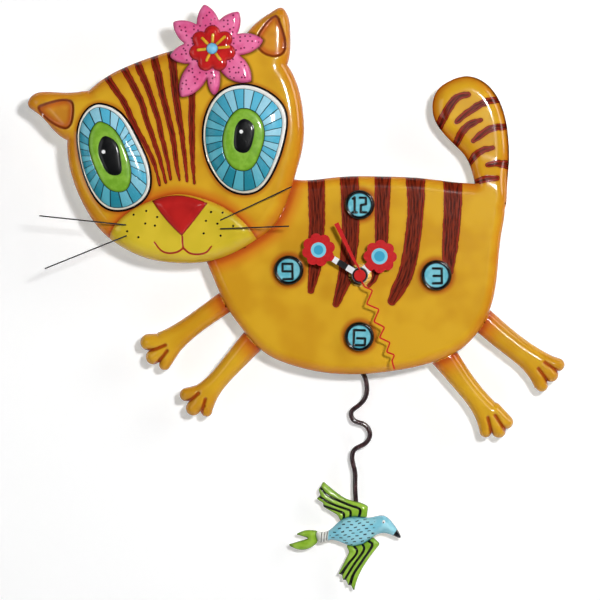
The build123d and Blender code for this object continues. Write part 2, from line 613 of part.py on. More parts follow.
bay_low = CASE_TOP - CASE_WALL - 2 * (CELL_RADIUS + CELL_CLEARANCE)
cell_z = bay_low + CELL_RADIUS + CELL_CLEARANCE
cell_depth = CASE_INNER_FRONT - CELL_RADIUS - CELL_FLOOR_GAP
case_outline = Pos(0, case_middle) * RectangleRounded(CASE_WIDTH, case_height, CASE_CORNER)
case_inside = Pos(0, case_middle) * RectangleRounded(
    CASE_WIDTH - 2 * CASE_WALL, case_height - 2 * CASE_WALL, CASE_CORNER - CASE_WALL)
inner_half = CASE_WIDTH / 2 - CASE_WALL
slot_half_width = (PIVOT_Z - CASE_BOTTOM) * tan(radians(SWING)) + ARM_WIDTH / 2 / cos(radians(SWING))
slot_half_width += SWING_CLEARANCE
slot_sketch = Pos(PIVOT_X, CASE_BOTTOM) * Rectangle(2 * slot_half_width, 4 * CASE_WALL)
arm_front = ARM_BACK + ARM_THICKNESS

case = slab(case_outline, COVER_THICKNESS, CASE_DEPTH) - slab(case_inside, COVER_THICKNESS - 1, CASE_INNER_FRONT)
bay_wall = Pos(0, bay_low - BAY_WALL / 2) * Rectangle(2 * inner_half, BAY_WALL)
case += slab(bay_wall, COVER_THICKNESS, CASE_INNER_FRONT)
case -= slab(slot_sketch, COVER_THICKNESS - 1, arm_front + 1.2)
case -= disc(BUSHING_RADIUS - 0.6, CASE_INNER_FRONT - 1, CASE_DEPTH + 1)
# Ledges in the side walls that carry the gear plate
ledge_z = (-14.0, 11.0)
for side in (-1, 1):
    for z in ledge_z:
        ledge = Pos(side * (inner_half - 0.9), z) * Rectangle(1.8, 4)
        case += slab(ledge, GEAR_PLATE_FRONT, CASE_INNER_FRONT)
# Bearing boss for the minute wheel's front pivot
case += ring(
    PIVOT_RADIUS + 1, PIVOT_RADIUS + RUNNING_CLEARANCE, hour_wheel_front + 0.3, CASE_INNER_FRONT, *minute_wheel_at)
parts["movement_case"] = case

bushing = disc(BUSHING_RADIUS, CASE_DEPTH, BUSHING_FRONT) + disc(BUSHING_RADIUS - 0.6, CASE_INNER_FRONT, CASE_DEPTH)
bushing -= disc(HOUR_PIPE_RADIUS + RUNNING_CLEARANCE, CASE_INNER_FRONT - 1, BUSHING_FRONT + 1)
parts["shaft_bushing"] = bushing
parts["hub_washer"] = ring(
    WASHER_RADIUS, BUSHING_RADIUS + HOLE_CLEARANCE, TORSO_FRONT, TORSO_FRONT + WASHER_THICKNESS)
nut_back = TORSO_FRONT + WASHER_THICKNESS
nut = slab(RegularPolygon(NUT_ACROSS_FLATS / 2, 6, major_radius=False), nut_back, nut_back + NUT_THICKNESS)
parts["hub_nut"] = nut - disc(BUSHING_RADIUS + 0.02, nut_back - 1, nut_back + NUT_THICKNESS + 1)

plate_low, plate_high = PIVOT_Z - 3.5, bay_low - BAY_WALL - 0.2
plate = Pos(0, (plate_low + plate_high) / 2) * Rectangle(2 * inner_half - 0.4, plate_high - plate_low)
for centre_at in (third_at, step_at, rotor_at, minute_wheel_at):
    plate -= Pos(*centre_at) * Circle(PIVOT_RADIUS + RUNNING_CLEARANCE)
plate -= Circle(MINUTE_ARBOR_RADIUS + RUNNING_CLEARANCE)
plate -= Pos(*setting_at) * Circle(STEM_RADIUS + RUNNING_CLEARANCE)
plate -= Pos(PIVOT_X, PIVOT_Z) * Circle(PIVOT_PIN_RADIUS)
parts["gear_plate"] = slab(plate, GEAR_PLATE_BACK, GEAR_PLATE_FRONT)

well_radius = KNOB_RADIUS + KNOB_WELL_CLEARANCE
cell_window = Pos(0, (bay_low + CASE_TOP - CASE_WALL) / 2) * Rectangle(
    2 * inner_half - 0.4, 2 * (CELL_RADIUS + CELL_CLEARANCE) - 0.1)
cover = slab(case_outline, 0, COVER_THICKNESS)
cover += disc(well_radius + CASE_WALL, COVER_THICKNESS, KNOB_WELL_DEPTH + CASE_WALL, *setting_at)
cover -= disc(well_radius, -1, KNOB_WELL_DEPTH, *setting_at)
cover -= disc(STEM_RADIUS + RUNNING_CLEARANCE, 0, KNOB_WELL_DEPTH + 2, *setting_at)
cover -= slab(cell_window, -1, COVER_THICKNESS + 1)
# Bearings for the back pivots of the running train
for centre_at in (third_at, step_at, rotor_at):
    cover += ring(
        PIVOT_RADIUS + 0.7, PIVOT_RADIUS + RUNNING_CLEARANCE, COVER_THICKNESS, COVER_THICKNESS + 0.5, *centre_at)
cover += ring(
    SECOND_ARBOR_RADIUS + 0.7, SECOND_ARBOR_RADIUS + RUNNING_CLEARANCE, COVER_THICKNESS, COVER_THICKNESS + 0.5)
parts["back_cover"] = cover

parts["pivot_pin"] = disc(PIVOT_PIN_RADIUS, COVER_THICKNESS, GEAR_PLATE_FRONT, PIVOT_X, PIVOT_Z)

board_low, board_high, board_left = -14.0, 9.0, 10.0
board_right = inner_half - 2.0
board_front = GEAR_PLATE_FRONT + 1.0
board = Pos((board_left + board_right) / 2, (board_low + board_high) / 2) * Rectangle(
    board_right - board_left, board_high - board_low)
parts["circuit_board"] = slab(board, GEAR_PLATE_FRONT, board_front)
parts["timing_chip"] = disc(3.2, board_front, board_front + 1.2, 17.0, -8.0)
can = Plane(origin=(19.0, -(board_front + 1.0), -2.0), z_dir=(0, 0, 1)) * Circle(1.0)
parts["quartz_crystal"] = extrude(can, amount=6.0)

# Motor: a coil on a round core between the arms of the stator plate
coil_high = bay_low - BAY_WALL - COIL_TOP_GAP - CHEEK_HEIGHT
coil_length = coil_high - COIL_LOW_Z
coil_depth = STATOR_BACK + STATOR_THICKNESS / 2
stator_left, stator_right = COIL_X - COIL_RADIUS - 0.3, rotor_at[0] + ROTOR_MAGNET_RADIUS + 1.0
stator = Pos((stator_left + stator_right) / 2, (COIL_LOW_Z + coil_high) / 2) * Rectangle(
    stator_right - stator_left, coil_length + 2 * CHEEK_HEIGHT)
window_right = COIL_X + COIL_RADIUS + 0.3
stator -= Pos((stator_left + window_right) / 2 - 0.5, (COIL_LOW_Z + coil_high) / 2) * Rectangle(
    window_right - stator_left + 1.0, coil_length)
stator -= Pos(*rotor_at) * Circle(ROTOR_MAGNET_RADIUS + ROTOR_GAP)
parts["motor_stator"] = slab(stator, STATOR_BACK, STATOR_BACK + STATOR_THICKNESS)
coil_place = Plane(origin=(COIL_X, -(coil_depth + COIL_RADIUS), COIL_LOW_Z), z_dir=(0, 0, 1))
core = extrude(coil_place * Circle(COIL_CORE_RADIUS), amount=coil_length)
parts["motor_coil"] = extrude(coil_place * (Circle(COIL_RADIUS) - Circle(COIL_CORE_RADIUS)), amount=coil_length)
for z in (COIL_LOW_Z - CHEEK_HEIGHT, coil_high):
    cheek = Pos(COIL_X, z + CHEEK_HEIGHT / 2) * Rectangle(2 * COIL_RADIUS, CHEEK_HEIGHT)
    core += slab(cheek, STATOR_BACK + STATOR_THICKNESS, coil_depth + 2 * COIL_RADIUS)
parts["coil_core"] = core

parts["drive_coil"] = ring(
    DRIVE_COIL_RADIUS, DRIVE_COIL_HOLE, CASE_INNER_FRONT - DRIVE_COIL_THICKNESS, CASE_INNER_FRONT, PIVOT_X, MAGNET_Z)

# AA cell, lying across the top of the case and open to the back
cell_left = -CELL_LENGTH / 2 - CELL_NUB_LENGTH / 2
cell_axis = Plane(origin=(cell_left, -cell_depth, cell_z), x_dir=(0, 1, 0), z_dir=(1, 0, 0))
cell = extrude(cell_axis * Circle(CELL_RADIUS), amount=CELL_LENGTH)
cell += extrude(cell_axis.offset(CELL_LENGTH) * Circle(CELL_NUB_RADIUS), amount=CELL_NUB_LENGTH)
parts["battery_cell"] = cell


def contact(outer_x, towards):
    """A spring strip against the end wall of the bay, with a raised pad where the cell presses."""
    cell_end = towards * (CELL_LENGTH + CELL_NUB_LENGTH) / 2
    strip_x = outer_x - towards * CONTACT_THICKNESS / 2
    strip = Pos(strip_x, cell_z) * Rectangle(CONTACT_THICKNESS, 10)
    made = slab(strip, cell_depth - 5, cell_depth + 5)
    pad_low, pad_high = sorted((outer_x - towards * CONTACT_THICKNESS, cell_end + towards * 0.2))
    pad = Pos((pad_low + pad_high) / 2, cell_z) * Rectangle(pad_high - pad_low, 4)
    return made + slab(pad, cell_depth - 2, cell_depth + 2)


parts["contact_plus"] = contact(inner_half, 1)
parts["contact_minus"] = contact(-inner_half, -1)

# ---------------------------------------------------------------- hands


def flower_hand(reach, angle, stem_width, bore, boss, back, boss_height):
    """A pressed hand: a boss on its arbor, a straight stem and a flower at the end."""
    flower_at = polar(reach, angle)
    sketch = Circle(boss) + Pos(*flower_at) * blossom(
        FLOWER_HAND_LOBES, FLOWER_HAND_RADIUS, FLOWER_HAND_RADIUS * 0.34, angle)
    stem = Pos(*polar(reach / 2, angle)) * Rot(0, 0, angle) * Rectangle(reach, stem_width)
    made = slab(sketch + stem, back, back + HAND_THICKNESS)
    made += disc(boss, back - 0.3, back + boss_height)
    return made - disc(bore, back - 1, back + boss_height + 1)


parts["hour_hand"] = flower_hand(
    HOUR_HAND_REACH, HOUR_HAND_ANGLE, HOUR_STEM_WIDTH, HOUR_PIPE_RADIUS, 4.6, HOUR_HAND_BACK, 1.0)
parts["minute_hand"] = flower_hand(
    MINUTE_HAND_REACH, MINUTE_HAND_ANGLE, MINUTE_STEM_WIDTH, MINUTE_ARBOR_RADIUS, 4.4, MINUTE_HAND_BACK, 1.2)

# The seconds hand has a straight paddle one way and a squiggle the other
SECOND_PADDLE = [(-0.2, 3.0), (-4.4, 8.8), (-14.6, 29.0), (-12.2, 30.2), (-2.9, 9.6), (0.8, 2.6)]
SECOND_SQUIGGLE = [
    (0.3, -2.0), (2.6, -6.4), (7.2, -8.4), (3.8, -16.2), (10.9, -19.2), (7.9, -26.2), (14.0, -29.4),
    (11.1, -35.2), (17.1, -38.0), (15.1, -43.4), (19.7, -45.0), (18.2, -48.4), (19.6, -53.2),
]
squiggle_path = FilletPolyline(*SECOND_SQUIGGLE, radius=0.9)
squiggle = trace(squiggle_path, line_width=SECOND_TAIL_WIDTH)
second_sketch = Circle(SECOND_CAP_RADIUS) + make_face(Polyline(*SECOND_PADDLE, close=True)) + squiggle
second = slab(second_sketch, SECOND_HAND_BACK, SECOND_HAND_BACK + HAND_THICKNESS)
second += disc(SECOND_CAP_RADIUS, SECOND_HAND_BACK, cap_front)
second += disc(1.3, SECOND_HAND_BACK - 0.6, SECOND_HAND_BACK)
parts["second_hand"] = second

# ---------------------------------------------------------------- pendulum

arm = Pos(PIVOT_X, (PIVOT_Z + ARM_BOTTOM) / 2) * Rectangle(ARM_WIDTH, PIVOT_Z - ARM_BOTTOM)
arm += Pos(PIVOT_X, PIVOT_Z) * Circle(ARM_WIDTH / 2)
pendulum_arm = slab(arm, ARM_BACK, arm_front)
pendulum_arm += disc(ARM_WIDTH / 2, ARM_BACK, GEAR_PLATE_BACK - 0.4, PIVOT_X, PIVOT_Z)
pendulum_arm -= disc(PIVOT_PIN_RADIUS + RUNNING_CLEARANCE, ARM_BACK - 1, GEAR_PLATE_BACK, PIVOT_X, PIVOT_Z)
pendulum_arm += disc(HOOK_PEG_RADIUS, arm_front, ROD_DEPTH + ROD_RADIUS + 0.3, PIVOT_X, HOOK_PEG_Z)
parts["pendulum_arm"] = pendulum_arm
parts["drive_magnet"] = disc(MAGNET_RADIUS, arm_front, arm_front + MAGNET_THICKNESS, PIVOT_X, MAGNET_Z)

# The rod is one wire: an eye over the arm's peg, then a squiggle down to the bird
EYE_RADIUS = HOOK_PEG_RADIUS + ROD_RADIUS + 0.1
ROD_ROUTE = [
    (PIVOT_X, HOOK_PEG_Z - EYE_RADIUS), (1.2, -56.4), (3.6, -62.5), (3.2, -70), (-1, -75.4), (-5.2, -79.6),
    (-3.6, -83.9), (1.8, -86), (5.6, -91.8), (2.6, -97.4), (-3.4, -101), (-4.6, -105.6), (-3.2, -112.5),
    (-2.9, -122), (-2.3, -132), (-1.8, -146.5),
]
rod_curve = Spline(*[(x, -ROD_DEPTH, z) for x, z in ROD_ROUTE])
rod = sweep(Plane(origin=rod_curve @ 0, z_dir=rod_curve % 0) * Circle(ROD_RADIUS), path=rod_curve)
eye_plane = Plane(origin=(PIVOT_X, -ROD_DEPTH, HOOK_PEG_Z), x_dir=(1, 0, 0), z_dir=(0, -1, 0))
rod += eye_plane * Torus(EYE_RADIUS, ROD_RADIUS)
parts["pendulum_rod"] = rod

BIRD_BODY = loop([
    (-24, -148), (-18.5, -147.6), (-11, -141.4), (-3, -139.4), (6, -139.8), (13.5, -138.7), (18, -142),
    (23.2, -151.6), (14.5, -148.9), (8.5, -150.4), (2, -154.8), (-6, -156), (-18.5, -153.2), (-24, -153.8),
])
BIRD_TAIL = make_face(Curve() + [
    Spline((-24, -148), (-30, -147.1), (-37.2, -149.8)),
    Spline((-37.2, -149.8), (-33.4, -150.7), (-29.5, -152)),
    Spline((-29.5, -152), (-35, -153.6), (-41.6, -155.6)),
    Spline((-41.6, -155.6), (-33, -158.7), (-24, -153.8)),
    Line((-24, -153.8), (-24, -148)),
])


def feather_wing(lead, root, feathers):
    """A wing of overlapping feathers: a leading edge, then a stepped trailing edge."""
    edges = [Spline(*lead)]
    last = lead[-1]
    for notch, tip in feathers:
        edges += [Line(last, notch), Line(notch, tip)]
        last = tip
    edges += [Line(last, root[0])]
    edges += [Line(a, b) for a, b in zip(root, root[1:])]
    edges += [Line(root[-1], lead[0])]
    return make_face(Curve() + edges)


UPPER_WING = feather_wing(
    [(4.8, -133.6), (1.5, -131.7), (-7, -129.4), (-14.6, -124.6), (-21.4, -118.8)],
    [(-12.8, -138.6), (-10, -146), (3.6, -146), (4.2, -137)],
    [((-22.4, -121.6), (-24.2, -123.6)), ((-22.8, -127.2), (-25.4, -129)), ((-20.8, -131.8), (-21.8, -133.4))],
)
LOWER_WING = feather_wing(
    [(11.6, -155), (5.2, -163.2), (0.4, -171), (-3.4, -182.6)],
    [(-6.2, -159.6), (-8, -156.4), (-5, -149), (6, -149), (8, -151.6)],
    [((-5.4, -178.6), (-6.9, -179.6)), ((-8.1, -175.6), (-10, -176.4)), ((-10.4, -172.6), (-12.8, -172.8))],
)
bird_groove = sweep(
    Plane(origin=rod_curve @ 0, z_dir=rod_curve % 0) * Circle(ROD_RADIUS + 0.05), path=rod_curve)
bird_groove += disc(ROD_RADIUS + 0.05, ROD_DEPTH - ROD_RADIUS, ROD_DEPTH + ROD_RADIUS, -1.8, -146.5)
wing_front = BIRD_BACK + BIRD_WING_THICKNESS
bird_body = slab(BIRD_BODY, BIRD_BACK, BIRD_BACK + BIRD_BODY_THICKNESS)
parts["bird_body"] = bird_body - bird_groove
parts["bird_upper_wing"] = slab(UPPER_WING - BIRD_BODY, BIRD_BACK, wing_front) - bird_groove
parts["bird_lower_wing"] = slab(LOWER_WING - BIRD_BODY, BIRD_BACK, wing_front)
parts["bird_tail"] = slab(BIRD_TAIL - BIRD_BODY, BIRD_BACK, BIRD_BACK + BIRD_TAIL_THICKNESS)

# ---------------------------------------------------------------- hanger plate and its screws

hanger = Pos(HANGER_X, HANGER_Z) * RectangleRounded(HANGER_LENGTH, HANGER_HEIGHT, 3)
hanger -= Pos(HANGER_X, HANGER_Z) * Circle(HANGER_HOLE_RADIUS)
hanger -= capsule((HANGER_X, HANGER_Z), (HANGER_X, HANGER_Z + HANGER_SLOT_RISE - HANGER_SLOT_WIDTH / 2),
                  HANGER_SLOT_WIDTH / 2)
for x, z in hanger_screw_places:
    hanger -= Pos(x, z) * Circle(SCREW_RADIUS + 0.1)
hanger_back = CASTING_BACK - HANGER_THICKNESS
parts["hanger_plate"] = slab(hanger, hanger_back, CASTING_BACK)

screws = []
for x, z in hanger_screw_places:
    screw = disc(SCREW_HEAD_RADIUS, hanger_back - SCREW_HEAD_HEIGHT, hanger_back, x, z)
    screw += disc(SCREW_RADIUS, hanger_back, CASTING_BACK + SCREW_LENGTH, x, z)
    screws += screw.solids()
parts["hanger_screws"] = Compound(children=screws)

# ---------------------------------------------------------------- write every node

to_origin = Location((-HANGER_X, hanger_back, -HANGER_Z))
os.makedirs("parts", exist_ok=True)
for name, shape in parts.items():
    export_step(shape.moved(to_origin), f"parts/{name}.step")
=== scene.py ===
import bmesh
import bpy
import numpy as np
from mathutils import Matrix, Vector


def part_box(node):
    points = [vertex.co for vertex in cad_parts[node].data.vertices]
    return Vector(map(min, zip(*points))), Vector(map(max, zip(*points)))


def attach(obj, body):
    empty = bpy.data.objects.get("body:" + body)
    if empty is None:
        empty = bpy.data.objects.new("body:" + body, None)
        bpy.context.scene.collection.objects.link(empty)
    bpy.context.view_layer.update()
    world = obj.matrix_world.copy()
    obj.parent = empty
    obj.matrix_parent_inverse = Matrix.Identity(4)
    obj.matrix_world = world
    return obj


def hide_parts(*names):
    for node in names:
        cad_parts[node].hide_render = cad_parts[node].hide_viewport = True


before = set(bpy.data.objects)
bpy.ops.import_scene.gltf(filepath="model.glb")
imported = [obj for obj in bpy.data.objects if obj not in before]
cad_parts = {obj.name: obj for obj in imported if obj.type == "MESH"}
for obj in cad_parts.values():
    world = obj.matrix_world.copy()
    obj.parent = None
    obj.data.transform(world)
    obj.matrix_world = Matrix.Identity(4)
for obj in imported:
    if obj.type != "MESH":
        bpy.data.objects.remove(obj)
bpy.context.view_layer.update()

MM = 0.001
hub_low, hub_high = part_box("hub_nut")
HUB_X, HUB_Z = (hub_low[0] + hub_high[0]) / 2, (hub_low[2] + hub_high[2]) / 2
WALL_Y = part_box("back_cover")[1][1]
LENS = 190.0
SENSOR = 36.0
VIEW_WIDTH = 342 * MM
VIEW_TURN, VIEW_RISE = np.radians(1.5), np.radians(1.5)

aim = Vector((HUB_X - 34.2 * MM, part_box("body_casting")[0][1], HUB_Z - 14.2 * MM))
toward = Vector((
    np.sin(VIEW_TURN) * np.cos(VIEW_RISE), -np.cos(VIEW_TURN) * np.cos(VIEW_RISE), np.sin(VIEW_RISE)))
lens = bpy.data.cameras.new("camera")
lens.lens, lens.sensor_width = LENS, SENSOR
camera = bpy.data.objects.new("camera", lens)
camera.location = aim + toward * VIEW_WIDTH * LENS / SENSOR
camera.rotation_euler = toward.to_track_quat("Z", "Y").to_euler()
bpy.context.collection.objects.link(camera)
bpy.context.scene.camera = camera
bpy.context.scene.view_settings.view_transform = "Standard"


# Light: a large soft box up to the right, which gives the broad streaks on the right-hand rims and
# a soft shadow to the lower left, a weak one from the left, one behind, and a grey surround that is
# darker in front, as a room is, so that black gloss paint stays black.
def soft_box(name, place, target, width, height, power):
    """A rectangular area light that faces the target."""
    lamp = bpy.data.lights.new(name, "AREA")
    lamp.shape, lamp.size, lamp.size_y, lamp.energy = "RECTANGLE", width, height, power
    lit = bpy.data.objects.new(name, lamp)
    lit.location = place
    lit.rotation_euler = (Vector(place) - Vector(target)).to_track_quat("Z", "Y").to_euler()
    bpy.context.collection.objects.link(lit)


soft_box("key_box", aim + Vector((0.35, -1.29, 0.29)), aim, 0.14, 0.14, 12)
soft_box("side_box", aim + Vector((1.15, -0.50, 0.55)), aim, 0.35, 0.9, 5)
soft_box("fill_box", aim + Vector((-0.9, -1.2, 0.1)), aim, 0.8, 0.8, 3)
soft_box("back_box", aim + Vector((-0.5, 1.6, 0.6)), aim, 0.9, 0.9, 10)
SURROUND, DARK_ROOM = 0.34, 0.06
world = bpy.data.worlds.new("surround")
world.use_nodes = True
nodes, links = world.node_tree.nodes, world.node_tree.links
split = nodes.new("ShaderNodeSeparateXYZ")
links.new(nodes.new("ShaderNodeTexCoord").outputs["Generated"], split.inputs[0])
level = nodes.new("ShaderNodeMapRange")
for place, value in enumerate((-0.95, -0.5, DARK_ROOM, SURROUND), start=1):
    level.inputs[place].default_value = value
links.new(split.outputs["Y"], level.inputs[0])
paler = nodes.new("ShaderNodeMath")
paler.operation = "MAXIMUM"
links.new(level.outputs[0], paler.inputs[0])
links.new(nodes.new("ShaderNodeLightPath").outputs["Is Camera Ray"], paler.inputs[1])
links.new(paler.outputs[0], nodes["Background"].inputs["Strength"])
bpy.context.scene.world = world


# ---- Finishes: the paints and metals. A Wire is one output of a shader node, and arithmetic on it
# adds Math nodes; a Finish is one material, whose other nodes all come from its node method.
class Wire:
    """One socket in a material, with arithmetic."""

    def __init__(self, finish, socket):
        self.finish, self.socket = finish, socket

    def maths(self, operation, *others):
        """One Math node on this socket and the others."""
        return self.finish.node("ShaderNodeMath", {"operation": operation}, [self, *others])

    def __add__(self, other):
        return self.maths("ADD", other)

    def __sub__(self, other):
        return self.maths("SUBTRACT", other)

    def __mul__(self, other):
        return self.maths("MULTIPLY", other)

    def __truediv__(self, other):
        return self.maths("DIVIDE", other)

    def __rsub__(self, other):
        return self * -1 + other

    __radd__, __rmul__ = __add__, __mul__

    def ramp(self, low, high):
        """0 below low, 1 above high, and a smooth rise between; low may be above high."""
        return self.finish.node("ShaderNodeMapRange", {"interpolation_type": "SMOOTHSTEP"}, [self, low, high])


class Finish:
    """A material on one Principled shader, whose constant sockets are set by name."""

    def __init__(self, name, **constants):
        self.material = bpy.data.materials.new(name)
        self.material.use_nodes = True
        self.tree = self.material.node_tree
        self.shader = self.tree.nodes["Principled BSDF"]
        for socket, value in constants.items():
            self.shader.inputs[socket.replace("_", " ")].default_value = value

    def put(self, socket, value):
        """Links a wire into a socket, or sets the socket's value; a colour may leave out its alpha."""
        if isinstance(value, Wire):
            self.tree.links.new(value.socket, socket)
        elif value is not None:
            is_colour = getattr(socket, "type", "") == "RGBA" and len(value) == 3
            socket.default_value = (*value, 1) if is_colour else value

    def node(self, kind, settings=None, values=(), out=0):
        """A node with its settings first, then its input sockets, in order or by name."""
        made = self.tree.nodes.new(kind)
        for key, value in (settings or {}).items():
            setattr(made, key, value)
        pairs = values.items() if isinstance(values, dict) else enumerate(values)
        for key, value in pairs:
            self.put(made.inputs[key], value)
        return Wire(self, made.outputs[out])

    def attribute(self, name):
        """A value noted at the mesh's points."""
        return self.node("ShaderNodeAttribute", {"attribute_name": name}, out="Fac")

    def place(self):
        """The place on the object, in metres in the clock's frame."""
        return self.node("ShaderNodeTexCoord", out="Object")

    def axes(self, vector):
        """The X, Y and Z of a vector."""
        split = self.node("ShaderNodeSeparateXYZ", values=[vector]).socket.node
        return [Wire(self, split.outputs[k]) for k in range(3)]

    def speckle(self, scale, detail=3.0, where=None, roughness=0.55):
        """Smooth noise between about 0.3 and 0.7, with scale in features per metre."""
        where = where or self.place()
        return self.node("ShaderNodeTexNoise", values={
            "Vector": where, "Scale": scale, "Detail": detail, "Roughness": roughness})

    def mix(self, low, high, share):
        """The colour low where share is 0 and high where it is 1."""
        return self.node("ShaderNodeMix", {"data_type": "RGBA"}, {0: share, 6: low, 7: high}, out=2)

    def feed(self, **sockets):
        """Links or sets the shader's sockets by name."""
        for name, value in sockets.items():
            self.put(self.shader.inputs[name.replace("_", " ")], value)

    def bump(self, height, distance, strength=1.0):
        """Relief of the given height, in metres, for a height wire of 0 to 1."""
        self.feed(Normal=self.node("ShaderNodeBump", values={
            "Strength": strength, "Distance": distance, "Height": height}))


def srgb(red, green, blue):
    """A colour as it looks on a screen, 0 to 255, as the linear light that a shader takes."""
    shown = np.array((red, green, blue)) / 255
    return tuple(np.where(shown <= 0.04045, shown / 12.92, ((shown + 0.055) / 1.055) ** 2.4))


# ---- Wall and floor, which are not part of the clock. Both are plain and pale, are seen only from
# their front side, and let a lamp behind them through, so the clock's back can be looked at too.
def plain_sheet(name, corners):
    """A flat sheet between four corners, see-through from behind."""
    mesh = bpy.data.meshes.new(name)
    mesh.from_pydata(corners, [], [(0, 1, 2, 3)])
    sheet = bpy.data.objects.new(name, mesh)
    bpy.context.collection.objects.link(sheet)
    finish = Finish(name, Roughness=0.9, Specular_IOR_Level=0.1, Emission_Strength=1.0)
    finish.feed(Base_Color=finish.mix(srgb(246, 246, 246), srgb(250, 250, 250), finish.speckle(3.0)))
    seen = finish.node("ShaderNodeLightPath", out="Is Camera Ray")
    finish.feed(Emission_Color=finish.mix((0, 0, 0), (0.24, 0.24, 0.24), seen))
    behind = finish.node("ShaderNodeNewGeometry", out="Backfacing")
    behind = behind.maths("MAXIMUM", finish.node("ShaderNodeLightPath", out="Is Shadow Ray"))
    clear = finish.node("ShaderNodeBsdfTransparent")
    painted = Wire(finish, finish.shader.outputs[0])
    shown = finish.node("ShaderNodeMixShader", values=[behind, painted, clear])
    finish.put(finish.tree.nodes["Material Output"].inputs["Surface"], shown)
    mesh.materials.append(finish.material)


REACH = 3.0
FLOOR_DROP = 1.2
wall_y = WALL_Y + 0.2 * MM
foot_left, foot_right = (-REACH, wall_y, -FLOOR_DROP), (REACH, wall_y, -FLOOR_DROP)
plain_sheet("wall", [foot_left, foot_right, (REACH, wall_y, REACH), (-REACH, wall_y, REACH)])
plain_sheet("floor", [(-REACH, -REACH, -FLOOR_DROP), (REACH, -REACH, -FLOOR_DROP), foot_right, foot_left])


# ---- Body: torso, legs and tail, one resin casting with soft rounded rims, a crease where each leg
# and the tail leave the torso, and clefts between the toes. Behind, it is flat and unpainted, with
# a recess for the movement and a pocket behind the hanger plate.
def outline(node, y, facing=-1):
    """The straight bits, as rows of two (x, z) points, that bound a node's flat faces in the plane at
    y. The faces look to the front where facing is -1, and to the back where it is 1."""
    points, triangles = corners_of(node)
    distinct, index = np.unique(np.round(points, 7), axis=0, return_inverse=True)
    triangles = index.ravel()[triangles]
    a, b, c = (distinct[triangles[:, k]] for k in range(3))
    normal = np.cross(b - a, c - a)[:, 1]
    flat = np.ptp(distinct[triangles][:, :, 1], axis=1) < 1e-6
    chosen = triangles[flat & (np.abs(a[:, 1] - y) < 2e-6) & (normal * facing > 0)]
    sides = np.concatenate([chosen[:, [0, 1]], chosen[:, [1, 2]], chosen[:, [2, 0]]])
    pairs, counts = np.unique(np.sort(sides, axis=1), axis=0, return_counts=True)
    return distinct[pairs[counts == 1]][:, :, [0, 2]]


def corners_of(node):
    """A node's points, and the numbers of the three points of each of its triangles."""
    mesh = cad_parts[node].data
    points = np.empty(len(mesh.vertices) * 3)
    mesh.vertices.foreach_get("co", points)
    corners = np.empty(len(mesh.loops), dtype=int)
    mesh.loops.foreach_get("vertex_index", corners)
    return points.reshape(-1, 3), corners.reshape(-1, 3)


def levels(node):
    """The y of each flat level of a node that is drawn as plates, from the front to the back."""
    points, triangles = corners_of(node)
    depths = points[triangles][:, :, 1]
    return np.unique(np.round(depths[np.ptp(depths, axis=1) < 1e-6].mean(axis=1), 5))


TILE = 12 * MM


def tiles(points):
    """The numbers of the points in each square tile of the plane that holds any."""
    _, group = np.unique(np.floor(points / TILE).astype(int), axis=0, return_inverse=True)
    order = np.argsort(group.ravel(), kind="stable")
    return np.split(order, np.cumsum(np.bincount(group.ravel()))[:-1])


def gap_to(points, bits):
    """The distance from every point to every straight bit."""
    start, along = bits[:, 0], bits[:, 1] - bits[:, 0]
    offset = points[:, None, :] - start[None]
    share = np.clip((offset * along).sum(axis=2) / (along ** 2).sum(axis=1), 0, 1)
    return np.linalg.norm(offset - share[..., None] * along, axis=2)


def nearest(points, bits):
    """For each point, the least distance to any of the straight bits, and which bit that is. A tile
    looks only at the bits that can be the nearest to any point in it."""
    distances, which = np.empty(len(points)), np.empty(len(points), dtype=int)
    for chosen in tiles(points):
        spots = points[chosen]
        centre = spots.mean(axis=0, keepdims=True)
        radius = np.linalg.norm(spots - centre, axis=1).max()
        far = gap_to(centre, bits)[0]
        candidates = np.flatnonzero(far <= far.min() + 2 * radius + 1e-9)
        gaps = gap_to(spots, bits[candidates])
        which[chosen] = candidates[gaps.argmin(axis=1)]
        distances[chosen] = gaps.min(axis=1)
    return distances, which


def within(points, bits):
    """Whether each point is inside the closed outline: a line to its right crosses it an odd number
    of times."""
    answers = np.empty(len(points), dtype=bool)
    for chosen in tiles(points):
        x, z = points[chosen, 0][:, None], points[chosen, 1][:, None]
        heights = bits[:, :, 1]
        level = (heights.max(axis=1) >= z.min()) & (heights.min(axis=1) <= z.max())
        (ax, az), (bx, bz) = bits[level, 0].T, bits[level, 1].T
        crossing = ax + (z - az) * (bx - ax) / np.where(bz == az, 1, bz - az)
        answers[chosen] = (((az > z) != (bz > z)) & (x < crossing)).sum(axis=1) % 2 == 1
    return answers


def depth_inside(points, closed, counted=None):
    """How far each point lies inside a closed outline, less than 0 outside. Only the counted bits of
    the outline measure the distance."""
    distance, _ = nearest(points, closed if counted is None else counted)
    return np.where(within(points, closed), distance, -distance)


def rounded(inside, width, drop):
    """A quarter of an ellipse: -drop at the rim, rising to 0 at that width inside it."""
    share = np.clip(inside / width, 0, 1)
    return -drop * (1 - np.sqrt(np.clip(1 - (1 - share) ** 2, 0, 1)))


